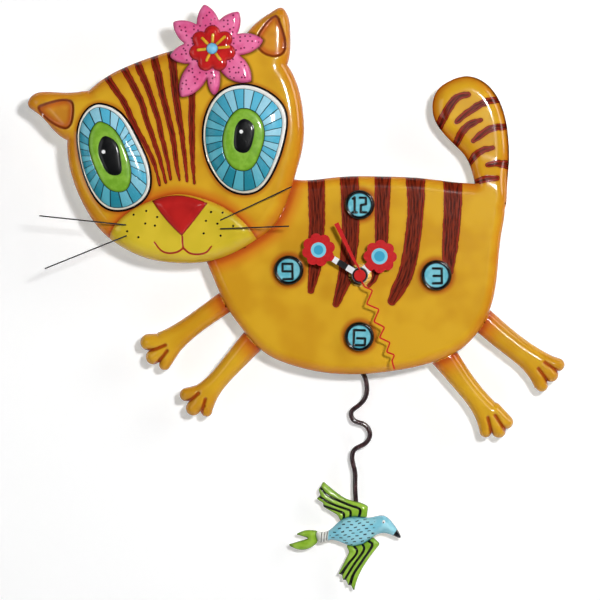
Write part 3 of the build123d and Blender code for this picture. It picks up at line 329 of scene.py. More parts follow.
def relief(name, low, high, step, reach, rim_width, front, back, notes=None):
    """A casting as a surface over x and z: a square grid, kept where reach (how far inside the outline
    a point is) is positive, its border moved onto the outline, and its points near the rim moved
    towards it by a cosine so that they follow the rounding; then y = front(x, z), a straight side
    wall, and a flat back. Each note is a named value at each point, for the paint."""
    count = np.ceil((high - low) / step).astype(int) + 3
    xs = low[0] + step * (np.arange(count[0]) - 1)
    zs = low[1] + step * (np.arange(count[1]) - 1)
    grid = np.stack(np.meshgrid(xs, zs, indexing="ij"), axis=-1).reshape(-1, 2)
    middle = grid + step / 2
    kept = (reach(middle) > 0).reshape(count)
    kept[-1, :] = kept[:, -1] = False
    index = np.arange(count[0] * count[1]).reshape(count)
    quads = np.stack([index[:-1, :-1], index[1:, :-1], index[1:, 1:], index[:-1, 1:]], axis=-1)
    quads = quads[kept[:-1, :-1]]
    used, quads = np.unique(quads, return_inverse=True)
    quads = quads.reshape(-1, 4)
    points = grid[used]
    sides = np.concatenate([quads[:, [k, (k + 1) % 4]] for k in range(4)])
    _, first, counts = np.unique(np.sort(sides, axis=1), axis=0, return_index=True, return_counts=True)
    border = sides[first[counts == 1]]
    on_border = np.zeros(len(points), dtype=bool)
    on_border[border] = True

    def slope(where):
        """The direction, of length 1, in which reach grows fastest."""
        probe = 0.05 * step
        here = reach(where)
        rise = np.stack([reach(where + [probe, 0]) - here, reach(where + [0, probe]) - here], axis=1)
        return rise / np.maximum(np.linalg.norm(rise, axis=1, keepdims=True), 1e-12)

    for _ in range(2):
        edge = points[on_border]
        points[on_border] = edge - reach(edge)[:, None] * slope(edge)
    inside = reach(points)
    close = (inside < rim_width) & ~on_border & (inside > 0)
    pulled = rim_width * (1 - np.cos(np.pi / 2 * inside[close] / rim_width))
    points[close] += (pulled - inside[close])[:, None] * slope(points[close])

    total = len(points)
    border_points = np.unique(border)
    wall_of = np.full(total, -1)
    wall_of[border_points] = total + np.arange(len(border_points))
    y = front(points)
    shell = np.column_stack([points[:, 0], y, points[:, 1]])
    rear = shell[border_points] * [1, 0, 1] + [0, back, 0]
    a, b = border.T
    walls = np.column_stack([b, a, wall_of[a], wall_of[b]])
    mesh = bpy.data.meshes.new(name)
    mesh.from_pydata(np.concatenate([shell, rear]).tolist(), [], np.concatenate([quads, walls]).tolist())
    for key, values in (notes(points) if notes else {}).items():
        layer = mesh.attributes.new(key, "FLOAT", "POINT")
        layer.data.foreach_set("value", np.concatenate([values, values[border_points]]).astype(np.float32))
    work = bmesh.new()
    work.from_mesh(mesh)
    bmesh.ops.remove_doubles(work, verts=work.verts, dist=0.02 * MM)
    bmesh.ops.dissolve_degenerate(work, edges=work.edges, dist=0.01 * MM)
    open_edges = [edge for edge in work.edges if edge.is_boundary]
    capped = bmesh.ops.holes_fill(work, edges=open_edges, sides=0)["faces"]
    bmesh.ops.recalc_face_normals(work, faces=work.faces)
    bmesh.ops.triangulate(work, faces=capped)
    for face in work.faces:
        face.smooth = True
        face.material_index = 1 if face.normal.y > 0.9 else 0
    work.to_mesh(mesh)
    work.free()
    piece = bpy.data.objects.new(name, mesh)
    bpy.context.collection.objects.link(piece)
    mesh.set_sharp_from_angle(angle=np.radians(50))
    return piece


def spread(node):
    """The least and greatest (x, z) of a node."""
    low_corner, high_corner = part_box(node)
    return np.array([low_corner[0], low_corner[2]]), np.array([high_corner[0], high_corner[2]])


def at(*places):
    """Places given as x and z in millimetres from the hand shaft, as points in the clock's frame."""
    return np.array(places, dtype=float) * MM + [HUB_X, HUB_Z]


def smooth_line(points, per=10):
    """A Catmull-Rom curve through the points, as rows of points."""
    padded = np.vstack([2 * points[0] - points[1], points, 2 * points[-1] - points[-2]])
    t = np.linspace(0, 1, per, endpoint=False)[None, :, None]
    a, b, c, d = (padded[k:len(padded) - 3 + k][:, None, :] for k in range(4))
    square, cube = 2 * a - 5 * b + 4 * c - d, 3 * b - a - 3 * c + d
    curve = 0.5 * (2 * b + (c - a) * t + square * t ** 2 + cube * t ** 3)
    return np.vstack([curve.reshape(-1, points.shape[1]), points[-1]])


def brush_lines(*lines):
    """Painted lines, each a list of (x, z, width) in millimetres from the shaft, as their straight
    bits, the half-width at both ends of each bit, and the length run before each bit."""
    bits, halves, runs = [], [], []
    for line in lines:
        path = smooth_line(np.array(line, dtype=float))
        spots = at(*path[:, :2])
        lengths = np.linalg.norm(np.diff(spots, axis=0), axis=1)
        bits.append(np.stack([spots[:-1], spots[1:]], axis=1))
        halves.append(np.stack([path[:-1, 2], path[1:, 2]], axis=1) * MM / 2)
        runs.append(np.cumsum(lengths) - lengths)
    return np.concatenate(bits), np.concatenate(halves), np.concatenate(runs)


def painted(points, lines):
    """How far each point is inside the nearest painted line, less than 0 outside it, with its
    distance along the line and its distance to one side of it."""
    bits, halves, runs = lines
    distance, which = nearest(points, bits)
    start, along = bits[which, 0], bits[which, 1] - bits[which, 0]
    offset = points - start
    length = np.linalg.norm(along, axis=1)
    share = np.clip((offset * along).sum(axis=1) / length ** 2, 0, 1)
    half = halves[which, 0] + share * (halves[which, 1] - halves[which, 0])
    side = (offset[:, 0] * along[:, 1] - offset[:, 1] * along[:, 0]) / length
    return half - distance, runs[which] + share * length, side


SAME_PLACE = 0.1 * MM


def shared(bits, others):
    """The bits whose middle is on one of the other outlines."""
    distance, _ = nearest(bits.mean(axis=1), others)
    return bits[distance <= SAME_PLACE]


def unshared(bits, others):
    """The bits whose middle is not on any of the other outlines."""
    distance, _ = nearest(bits.mean(axis=1), others)
    return bits[distance > SAME_PLACE]


BODY_STEP = 0.65 * MM
TORSO_RIM, TORSO_DROP = 6.5 * MM, 5.0 * MM
LEG_RIM, LEG_DROP = 5.5 * MM, 5.5 * MM
TAIL_RIM, TAIL_DROP = 8.0 * MM, 6.0 * MM
TAIL_ROOT = 18 * MM
HUB_HOLE_REACH = 6 * MM
CREASE_BLEND = 0.35 * MM
CLEFT_DEPTH, CLEFT_WIDTH = 2.0 * MM, 0.8 * MM
CLEFTS = brush_lines(
    [(-124.5, -43.6, 1), (-118, -42.8, 1), (-111.5, -40.2, 1)],
    [(-117.5, -52, 1), (-114, -48, 1), (-110.5, -43.5, 1)],
    [(-100.4, -73.4, 1), (-96.5, -71.2, 1), (-92.5, -67.8, 1)],
    [(-91.4, -81.4, 1), (-90.2, -76.8, 1), (-88.6, -71.2, 1)],
    [(75.6, -93, 1), (74.6, -87.5, 1), (73, -81.5, 1)],
    [(84, -90.2, 1), (80.8, -85.6, 1), (77.2, -80.2, 1)],
    [(108.4, -62.8, 1), (105.6, -58.4, 1), (101.8, -53.4, 1)],
    [(114.4, -56.6, 1), (110.4, -53.2, 1), (105.4, -49.8, 1)],
)
BODY_STRIPES = brush_lines(
    [(-25, 56, 9.4), (-24.6, 32, 9), (-25.2, 18, 8.2), (-25.9, 4, 6.8), (-28.1, -9, 3.4)],
    [(-6.2, 58, 10.4), (-5.4, 27, 9.8), (-6.6, 11, 9.2), (-8.8, -2, 7.8), (-13.6, -16.4, 3.9)],
    [(13, 58, 9.4), (12.4, 32, 7.8), (11.8, 16, 7), (8.2, 0, 4.8), (5.2, -5.8, 2.4)],
    [(31.4, 57, 11.2), (31.7, 39, 9.2), (29.6, 18, 8.8), (26.4, 2, 8.4), (21.8, -8, 7.6), (18.4, -14.6, 5)],
    [(52.8, 56, 11), (52.7, 39, 10), (51.4, 20, 9.2), (50.6, 8, 7), (51.6, 2, 3)],
)
TAIL_STRIPES = brush_lines(
    [(44.2, 83.6, 4.4), (48.2, 91.2, 4.6), (51.6, 97, 4.4), (56, 101.4, 4), (61.5, 102.8, 3)],
    [(54.8, 87.2, 2.6), (60.4, 91.9, 3.6), (66.8, 96.2, 3.8), (72.7, 99, 3.6), (79.4, 99.8, 3)],
    [(54.4, 74.2, 3.4), (57.2, 80, 4.2), (60.8, 84.5, 4), (65.2, 87, 3.4), (69, 88.4, 2)],
    [(64.5, 76.4, 2.6), (68.9, 80, 3.8), (74.4, 83.4, 3.8), (84.6, 84.8, 3.2)],
    [(62.3, 63.4, 2.8), (65.4, 68, 3.8), (69.8, 71, 3.6), (75.6, 72.4, 2.2)],
    [(72.4, 62.6, 2.4), (77.8, 63.6, 3.6), (85, 62.8, 4.8)],
    [(65.6, 52.8, 3), (71.3, 54.6, 3.8), (78, 55.2, 2.6)],
)
torso_y, tail_y, leg_y, neck_y = levels("body_casting")[:4]
torso_all, tail_all, leg_all, neck_all = (
    outline("body_casting", y) for y in (torso_y, tail_y, leg_y, neck_y))
hub_spot = at((0, 0))[0]
torso_all = torso_all[np.linalg.norm(torso_all.mean(axis=1) - hub_spot, axis=1) > HUB_HOLE_REACH]
torso_bits = unshared(unshared(torso_all, neck_all), tail_all)
neck_bits = unshared(neck_all, torso_all)
tail_join = shared(torso_all, tail_all)
tail_bits, leg_bits = unshared(tail_all, torso_all), unshared(leg_all, torso_all)
rim_bits = np.concatenate([torso_bits, tail_bits])
junction = np.concatenate([shared(tail_all, torso_all), shared(leg_all, torso_all)])


def whole(node):
    """The outline of a node's flat back."""
    return outline(node, levels(node)[-1], facing=1)


head_outline = whole("head_casting")
button_rims = np.concatenate([whole(f"hour_button_{hour}") for hour in (12, 3, 6, 9)])
FAR, STRIPE_FAR = 20 * MM, 6 * MM


def body_depths(points):
    """How far inside the torso, the tail, the legs and the neck each point is. Where the torso's
    front was cut away for the head, the torso still counts for 1 mm under the head's rim."""
    lap = 1.0 * MM
    torso = depth_inside(points, torso_all, rim_bits)
    neck = depth_inside(points, neck_all, neck_bits)
    under_rim = (neck > 0) & (depth_inside(points, head_outline) < lap)
    torso = np.where(under_rim, np.abs(neck), torso)
    return torso, depth_inside(points, tail_all, rim_bits), depth_inside(points, leg_all, leg_bits), neck


def body_reach(points):
    """How far points of the front plane lie inside the outline of the body."""
    return np.max(body_depths(points), axis=0)


def tail_root(points):
    """1 where the tail leaves the torso, falling smoothly to 0 at the end of its root."""
    share = np.clip(1 - nearest(points, tail_join)[0] / TAIL_ROOT, 0, 1)
    return share * share * (3 - 2 * share)


def body_front(points):
    """The foremost of the rounded torso, tail, legs and neck, blended over a fraction of a
    millimetre where they meet, less a groove at each cleft between toes. The tail rises to the
    torso's face over its root, and takes the torso's rounding there."""
    torso, tail, legs, neck = body_depths(points)
    root = tail_root(points)
    tail_face = tail_y + root * (torso_y - tail_y)
    tail_rim = TAIL_RIM + root * (TORSO_RIM - TAIL_RIM)
    tail_drop = TAIL_DROP + root * (TORSO_DROP - TAIL_DROP)
    shapes = [
        np.where(torso > -1e-6, torso_y - rounded(torso, TORSO_RIM, TORSO_DROP), 1.0),
        np.where(tail > -1e-6, tail_face - rounded(tail, tail_rim, tail_drop), 1.0),
        np.where(legs > -1e-6, leg_y - rounded(legs, LEG_RIM, LEG_DROP), 1.0),
        np.where(neck > -1e-6, neck_y + 0.3 * MM, 1.0),
        np.full(len(points), leg_y + LEG_DROP),
    ]
    stack = np.stack(shapes)
    foremost = stack.min(axis=0)
    blended = foremost - CREASE_BLEND * np.log(np.exp((foremost - stack) / CREASE_BLEND).sum(axis=0))
    cleft, _ = nearest(points, CLEFTS[0])
    return blended + CLEFT_DEPTH * np.exp(-(cleft / CLEFT_WIDTH) ** 2)


def body_notes(points):
    """What the paint follows: the distance in from the rim, the stripes, and the distances to the
    creases, the clefts, the buttons, the head's rim and the tail's root, along which shade is painted."""
    torso, tail, legs, neck = body_depths(points)
    on_tail = (tail > torso) & (tail > 0)
    body_paint, tail_paint = painted(points, BODY_STRIPES), painted(points, TAIL_STRIPES)
    stripe, along, side = (np.where(on_tail, t, b) for t, b in zip(tail_paint, body_paint))
    own = np.max([np.where(shape > 0, shape, 0) for shape in (torso, tail, legs)], axis=0)
    crease = np.where(torso > 0, FAR, nearest(points, junction)[0])
    return {
        "rim": np.minimum(own, FAR), "stripe": np.clip(stripe, -STRIPE_FAR, STRIPE_FAR),
        "along": along, "side": side, "crease": np.minimum(crease, FAR),
        "cleft": np.minimum(nearest(points, CLEFTS[0])[0], FAR),
        "limb": np.where(legs > torso, 1.0, 0.0),
        "button": np.minimum(nearest(points, button_rims)[0], FAR),
        "neck": np.minimum(nearest(points, head_outline)[0], FAR),
        "root": np.minimum(nearest(points, tail_join)[0], FAR),
    }


YELLOW, DEEP_YELLOW = srgb(226, 174, 40), srgb(213, 156, 32)
ORANGE, RED_ORANGE = srgb(212, 108, 26), srgb(176, 60, 18)
STRIPE_BROWN, STRIPE_DARK, STRIPE_EDGE = srgb(136, 44, 20), srgb(66, 18, 8), srgb(168, 42, 24)
STRIPE_LINE = srgb(52, 14, 8)


def cat_paint(finish, rim_reach, rim_share):
    """Golden yellow, a little uneven as sprayed paint is, deepening to orange towards the rims."""
    cloud = finish.speckle(38.0, 2.0)
    base = finish.mix(DEEP_YELLOW, YELLOW, cloud.ramp(0.34, 0.62))
    rim = finish.attribute("rim")
    ragged = rim + (finish.speckle(120.0, 2.0) - 0.5) * (4 * MM)
    shaded = finish.mix(base, ORANGE, ragged.ramp(rim_reach, 0.0) * rim_share)
    return finish.mix(shaded, RED_ORANGE, rim.ramp(1.6 * MM, 0.0) * rim_share * 0.5)


def stripe_paint(finish, ground):
    """Brown stripes with streaks that run along the brush stroke, a red edge and a dark outline.
    Returns the colour and the height of the paint, a little below the ground."""
    stripe, along, side = (finish.attribute(name) for name in ("stripe", "along", "side"))
    grain = finish.node("ShaderNodeCombineXYZ", values=[side * 1.0, along * 0.09, 0.0])
    streak = finish.speckle(1050.0, 3.0, where=grain)
    wobble = stripe + (finish.speckle(260.0, 2.0) - 0.5) * (1.2 * MM)
    brown = finish.mix(STRIPE_DARK, STRIPE_BROWN, streak.ramp(0.38, 0.60))
    brown = finish.mix(STRIPE_EDGE, brown, wobble.ramp(0.2 * MM, 1.2 * MM))
    brown = finish.mix(STRIPE_LINE, brown, wobble.ramp(0.0, 0.4 * MM))
    halo = finish.mix(ground, ORANGE, wobble.ramp(-1.4 * MM, -0.2 * MM) * 0.4)
    inside = wobble.ramp(-0.3 * MM, 0.0)
    return finish.mix(halo, brown, inside), inside * (streak * 0.35 - 0.3)


def casting_lacquer(name, **changes):
    """Gloss lacquer over hand-painted resin."""
    sockets = {
        "Roughness": 0.24, "Specular_IOR_Level": 0.12,
        "Coat_Weight": 0.65, "Coat_Roughness": 0.07, "Coat_IOR": 1.5}
    return Finish(name, **{**sockets, **changes})


def gloss(finish, smoothest, paint_height=0.0):
    """A brushed-on skin: uneven gloss, and slow waves in the lacquer on top of the paint's own relief."""
    finish.feed(Roughness=finish.speckle(420.0) * 0.12 + smoothest)
    finish.bump(finish.speckle(150.0, 2.0) * 0.5 + paint_height, 0.2 * MM)


def raw_resin():
    """The unpainted back of a casting: cream resin, flat ground, with fine scratches and specks."""
    if "raw_resin" in bpy.data.materials:
        return bpy.data.materials["raw_resin"]
    finish = Finish("raw_resin", Roughness=0.7)
    dust = finish.speckle(900.0, 4.0)
    cloud = finish.speckle(45.0).ramp(0.3, 0.7)
    finish.feed(Base_Color=finish.mix(srgb(196, 186, 160), srgb(222, 214, 192), cloud))
    finish.feed(Roughness=dust * 0.3 + 0.5)
    finish.bump(dust, 0.2 * MM)
    return finish.material


back_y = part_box("body_casting")[1][1]
body = relief("cat_body", *spread("body_casting"), BODY_STEP, body_reach, LEG_RIM, body_front,
              back_y, body_notes)
finish = casting_lacquer("body_lacquer")
limb, crease, cleft, neck, button, root = (
    finish.attribute(key) for key in ("limb", "crease", "cleft", "neck", "button", "root"))
# Painted shade: orange in the crease where the tail leaves the torso, on its left half, fading out towards
# the right.
root_side = finish.axes(finish.place())[0].ramp(HUB_X + 76 * MM, HUB_X + 54 * MM)
ground = cat_paint(finish, 6.2 * MM, limb * -0.34 + 0.56)
ground = finish.mix(ground, ORANGE, root.ramp(9 * MM, 0.0) * root_side)
# Painted shade: orange and red-orange in the creases where the legs leave the torso.
ground = finish.mix(ground, ORANGE, crease.ramp(15 * MM, 1 * MM) * limb * 0.85)
ground = finish.mix(ground, RED_ORANGE, crease.ramp(5 * MM, 0.0) * limb * 0.8)
# Painted shade: red-orange in the clefts between the toes.
ground = finish.mix(ground, RED_ORANGE, cleft.ramp(1.6 * MM, 0.4 * MM) * 0.85)
# Painted shade: orange and red-orange on the torso along the head's rim, where the head stands over it.
ground = finish.mix(ground, ORANGE, neck.ramp(11 * MM, 0.0) * 0.9)
ground = finish.mix(ground, RED_ORANGE, neck.ramp(5 * MM, 0.0) * 0.7)
# Painted shade: red-orange round the foot of each hour button.
ground = finish.mix(ground, RED_ORANGE, button.ramp(3.6 * MM, 0.0) * 0.75)
colour, stripe_height = stripe_paint(finish, ground)
finish.feed(Base_Color=colour)
gloss(finish, 0.17, stripe_height)
body.data.materials.append(finish.material)
body.data.materials.append(raw_resin())


def hollow(piece, sunk, name):
    """Cuts a closed mesh out of a casting, whose cut faces keep the closed mesh's material."""
    cut = piece.modifiers.new(name, "BOOLEAN")
    cut.operation, cut.solver, cut.object = "DIFFERENCE", "EXACT", sunk
    bpy.context.view_layer.objects.active = piece
    piece.select_set(True)
    bpy.ops.object.modifier_apply(modifier=name)
    bpy.data.objects.remove(sunk)


def round_slab(name, low, high, corner, back, front):
    """A closed slab with rounded corners between two (x, z) points and two depths."""
    arc = np.radians(np.arange(0, 90, 15))
    corners = np.array([(high[0], high[1]), (low[0], high[1]), (low[0], low[1]), (high[0], low[1])])
    centres = corners + corner * np.array([(-1, -1), (1, -1), (1, 1), (-1, 1)])
    turns = arc + np.arange(4)[:, None] * np.pi / 2
    rim = centres[:, None] + corner * np.stack([np.cos(turns), np.sin(turns)], axis=-1)
    rim = rim.reshape(-1, 2)
    count = len(rim)
    sides = [np.column_stack([rim[:, 0], np.full(count, y), rim[:, 1]]) for y in (front, back)]
    points = np.concatenate(sides)
    ring = np.arange(count)
    after = (ring + 1) % count
    faces = [ring.tolist(), (ring[::-1] + count).tolist()]
    faces += np.column_stack([after, ring, ring + count, after + count]).tolist()
    mesh = bpy.data.meshes.new(name)
    mesh.from_pydata(points.tolist(), [], faces)
    mesh.materials.append(raw_resin())
    slab = bpy.data.objects.new(name, mesh)
    bpy.context.collection.objects.link(slab)
    return slab


ROOM, SUNK_CORNER, PAST_BACK = 0.6 * MM, 3 * MM, 1 * MM
POCKET_SIDE, POCKET_FOOT, POCKET_TOP, POCKET_DEPTH = 6.5 * MM, 5.5 * MM, 12.5 * MM, 5 * MM
case_low, case_high = spread("movement_case")
case_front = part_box("movement_case")[0][1] - 0.05 * MM
recess = round_slab("recess", case_low - ROOM, case_high + ROOM, SUNK_CORNER, back_y + PAST_BACK, case_front)
hollow(body, recess, "recess")
pocket = round_slab("pocket", (-POCKET_SIDE, -POCKET_FOOT), (POCKET_SIDE, POCKET_TOP), SUNK_CORNER,
                    back_y + PAST_BACK, back_y - POCKET_DEPTH)
hollow(body, pocket, "pocket")
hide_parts("body_casting")
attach(body, "clock")


# ---- Head: a second casting glued over the torso, thicker and more rounded, with two ears. Each ear
# has a sunk triangle, shaded orange, and six stripes run down the brow.
HEAD_STEP = 0.65 * MM
HEAD_RIM, HEAD_DROP = 9.0 * MM, 6.5 * MM
EAR_DEPTH, EAR_SLOPE = 2.2 * MM, 1.6 * MM
HEAD_STRIPES = brush_lines(
    [(-144.6, 113.6, 3.4), (-139, 105.4, 3.4), (-134, 98.3, 3.2), (-129.8, 89, 3), (-125.6, 80.7, 2.8),
     (-120.9, 72.3, 2.5), (-116.8, 63.4, 2), (-113.6, 51, 1.1)],
    [(-135.6, 120, 4), (-132.3, 114.1, 3.7), (-127.7, 105.8, 3.4), (-123.8, 97.4, 3.4), (-121.5, 89.1, 3.1),
     (-118.5, 80.7, 2.8), (-115.7, 72.3, 2.5), (-113.1, 64, 2), (-110.3, 52.7, 1.1)],
    [(-127.6, 123, 4.2), (-123.8, 114.1, 3.7), (-120.2, 105.8, 3.3), (-117.4, 97.4, 3.1), (-114.8, 89.1, 2.9),
     (-113, 80.7, 2.7), (-111, 72.3, 2.4), (-109.1, 64, 1.9), (-107.4, 54.4, 1.1)],
    [(-117.6, 126, 4.4), (-114.5, 114.1, 4.1), (-112.9, 105.8, 3.9), (-110.8, 97.4, 3.5), (-108.7, 89.1, 3.2),
     (-106.7, 80.7, 3.1), (-105.3, 72.3, 2.8), (-104.3, 64, 2.3), (-102.4, 54, 1.2)],
    [(-107.4, 128, 4.6), (-105.6, 114.1, 4.2), (-105, 105.8, 4), (-103.9, 97.4, 3.7), (-102.6, 89.1, 3.3),
     (-101.2, 80.7, 2.8), (-100.2, 72.3, 2.3), (-99.1, 64, 2), (-98.2, 53.5, 1.2)],
    [(-95.6, 112, 4), (-95.4, 101.6, 3.7), (-95.5, 89.1, 3.5), (-95.3, 76, 3.1), (-94.9, 64, 2.3),
     (-94.1, 52.3, 1.2)],
)
head_y, ear_floor_y = levels("head_casting")[:2]
ear_floors = outline("head_casting", ear_floor_y)
eye_rims = np.concatenate([whole("left_eye"), whole("right_eye")])
muzzle_outline = whole("muzzle")
muzzle_free = unshared(muzzle_outline, head_outline)
petal_outline = whole("flower_petals")


def head_reach(points):
    """How far points of the front plane lie inside the outline of the head."""
    return depth_inside(points, head_outline)


def ear_sink(points):
    """1 in the sunk triangles of the ears, falling to 0 over the slope at their edge."""
    inside = depth_inside(points, ear_floors)
    share = np.clip((inside + 0.5 * EAR_SLOPE) / EAR_SLOPE, 0, 1)
    return share * share * (3 - 2 * share)


def head_front(points):
    """A flat face with a rim rounded as a quarter ellipse, and the ears' triangles sunk into it."""
    return head_y - rounded(head_reach(points), HEAD_RIM, HEAD_DROP) + EAR_DEPTH * ear_sink(points)


def head_notes(points):
    """What the paint follows: the distance in from the rim and from the ears' triangles, the stripes,
    and the distances to the eyes, the muzzle's upper edge and the petals, along which shade and the
    petals' shadow are painted."""
    stripe, along, side = painted(points, HEAD_STRIPES)
    return {
        "rim": np.minimum(head_reach(points), FAR), "stripe": np.clip(stripe, -STRIPE_FAR, STRIPE_FAR),
        "along": along, "side": side, "ear": np.clip(depth_inside(points, ear_floors), -FAR, FAR),
        "eye": np.minimum(nearest(points, eye_rims)[0], FAR),
        "muzzle": np.minimum(nearest(points, muzzle_free)[0], FAR),
        "petal": np.minimum(nearest(points, petal_outline)[0], FAR),
    }


head = relief("cat_head", *spread("head_casting"), HEAD_STEP, head_reach, HEAD_RIM, head_front,
              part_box("head_casting")[1][1], head_notes)
finish = casting_lacquer("head_lacquer")
ear, eye, muzzle, petal = (finish.attribute(key) for key in ("ear", "eye", "muzzle", "petal"))
cloud = finish.speckle(90.0, 2.0).ramp(0.35, 0.65)
inner_ear = finish.mix(srgb(206, 136, 40), srgb(222, 152, 46), cloud)
inner_ear = finish.mix(inner_ear, srgb(196, 88, 28), ear.ramp(4.6 * MM, 1 * MM) * 0.8)
inner_ear = finish.mix(inner_ear, srgb(112, 40, 16), ear.ramp(1.2 * MM, 0.2 * MM) * 0.85)
ground = finish.mix(cat_paint(finish, 8 * MM, 0.62), inner_ear, ear.ramp(-1.2 * MM, -0.3 * MM))
# Painted shade: orange and red-orange on the head along the muzzle's upper edge, in the crease there.
ground = finish.mix(ground, ORANGE, muzzle.ramp(7.5 * MM, 0.0) * 0.9)
ground = finish.mix(ground, RED_ORANGE, muzzle.ramp(2.2 * MM, 0.0) * 0.7)
# Painted shade: red-orange on the head round each raised eye; the black line at the eye's edge below is
# paint.
ground = finish.mix(ground, RED_ORANGE, eye.ramp(3.4 * MM, 0.8 * MM) * 0.6)
colour, stripe_height = stripe_paint(finish, ground)
# Mostly a painted shadow cast by the petals on the head, with a dark brown edge painted round them.
colour = finish.mix(colour, STRIPE_LINE, petal.ramp(2 * MM, 0.0) * 0.75)
colour = finish.mix(colour, srgb(14, 10, 10), eye.ramp(1.1 * MM, 0.8 * MM))
finish.feed(Base_Color=colour)
gloss(finish, 0.17, stripe_height)
head.data.materials.append(finish.material)
head.data.materials.append(raw_resin())
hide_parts("head_casting")
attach(head, "clock")


def fitted(piece, node, body, slot, *materials):
    """Gives a new piece its materials, and puts it in the place of its node."""
    for material in materials:
        piece.data.materials.append(material)
    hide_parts(node)
    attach(piece, body)


# ---- Eyes: two domed resin ovals on the head, each a white rim, a ball painted as a ring of light
# and dark blue segments with incised lines between them, a green iris and a black oval pupil.
# Each segment's points stand closer together beside its lines. The profile is pairs of a step and a
# height in millimetres over the head: step 0 is the rim, 1 the ball, 2 the iris, 3 the pupil, 4 the middle.
SEGMENTS = 28
IN_SEGMENT = np.array([0, 0.045, 0.10, 0.22, 0.40, 0.60, 0.78, 0.90, 0.955])
GROOVE = 0.32 * MM
EYE_PROFILE = np.array([
    (0, -0.6), (0.02, 0.5), (0.1, 1.15), (0.3, 1.6), (0.6, 1.55), (0.85, 1.15), (1.0, 0.7), (1.05, 1.25),
    (1.15, 1.8), (1.35, 2.35), (1.6, 2.75), (1.85, 3.0), (1.94, 3.05), (2.0, 2.85), (2.06, 3.2), (2.2, 3.5),
    (2.5, 3.7), (2.8, 3.8), (2.94, 3.85), (3.0, 3.7), (3.08, 4.0), (3.25, 4.2), (3.6, 4.3), (4.0, 4.35)])
# The white rim's widening towards the upper right is partly a painted highlight.
WHITE_TRIM, WHITE_HIGHLIGHT_SHIFT, WHITE_HIGHLIGHT_WAY = 0.4 * MM, 0.6 * MM, np.radians(35)
EYE_RINGS = ("rim", "ball", "iris", "pupil")
EYE_DOTS = {"left_eye": (-145.3, 70), "right_eye": (-67.2, 81.4)}


def crossings(bits, centre, turns):
    """How far out from the centre a ray at each turn crosses the straight bits for the last time."""
    ray = np.column_stack([np.cos(turns), np.sin(turns)])[:, None]
    start, along = bits[:, 0] - centre, bits[:, 1] - bits[:, 0]
    slant = ray[..., 0] * along[:, 1] - ray[..., 1] * along[:, 0]
    slant = np.where(np.abs(slant) < 1e-15, 1e-15, slant)
    out = (start[:, 0] * along[:, 1] - start[:, 1] * along[:, 0]) / slant
    share = (start[:, 0] * ray[..., 1] - start[:, 1] * ray[..., 0]) / slant
    return np.where((share > -1e-5) & (share < 1 + 1e-5), out, 0).max(axis=1)


def ringed(name, rings, around, notes):
    """A closed skin over rings of (x, y, z) points, from the base to one last point: four-sided faces
    between rings, a fan of triangles to the point, and one flat face under the base. Its UV map has
    u running from 0 to 1 around each ring."""
    count, size = len(rings) - 1, rings.shape[1]
    index = np.arange(count * size).reshape(count, size)
    after = np.roll(index, -1, axis=1)
    quads = np.stack([index[:-1], after[:-1], after[1:], index[1:]], axis=-1).reshape(-1, 4)
    fan = np.column_stack([index[-1], after[-1], np.full(size, count * size)])
    faces = quads.tolist() + fan.tolist() + [index[0][::-1].tolist()]
    points = np.concatenate([rings[:-1].reshape(-1, 3), rings[-1, :1]])
    mesh = bpy.data.meshes.new(name)
    mesh.from_pydata(points.tolist(), [], faces)
    ends = np.append(around[1:], 1.0)
    quad_u = np.tile(np.column_stack([around, ends, ends, around]), (count - 1, 1))
    fan_u = np.column_stack([around, ends, (around + ends) / 2])
    u = np.concatenate([quad_u.ravel(), fan_u.ravel(), around[::-1]])
    uv = mesh.uv_layers.new(name="around")
    uv.data.foreach_set("uv", np.column_stack([u, np.zeros(len(u))]).ravel())
    for key, values in notes(points[:, [0, 2]]).items():
        mesh.attributes.new(key, "FLOAT", "POINT").data.foreach_set("value", values.astype(np.float32))
    work = bmesh.new()
    work.from_mesh(mesh)
    bmesh.ops.recalc_face_normals(work, faces=work.faces)
    for face in work.faces:
        face.smooth = True
    work.to_mesh(mesh)
    work.free()
    mesh.set_sharp_from_angle(angle=np.radians(60))
    piece = bpy.data.objects.new(name, mesh)
    bpy.context.collection.objects.link(piece)
    return piece


def spot(finish, place, radius, soft=0.12 * MM):
    """1 inside a disc about a place given in millimetres from the shaft, 0 outside it."""
    centre = at(place)[0]
    x, _, z = finish.axes(finish.place())
    away = ((x - centre[0]) * (x - centre[0]) + (z - centre[1]) * (z - centre[1])).maths("SQRT")
    return away.ramp(radius + soft, radius - soft)


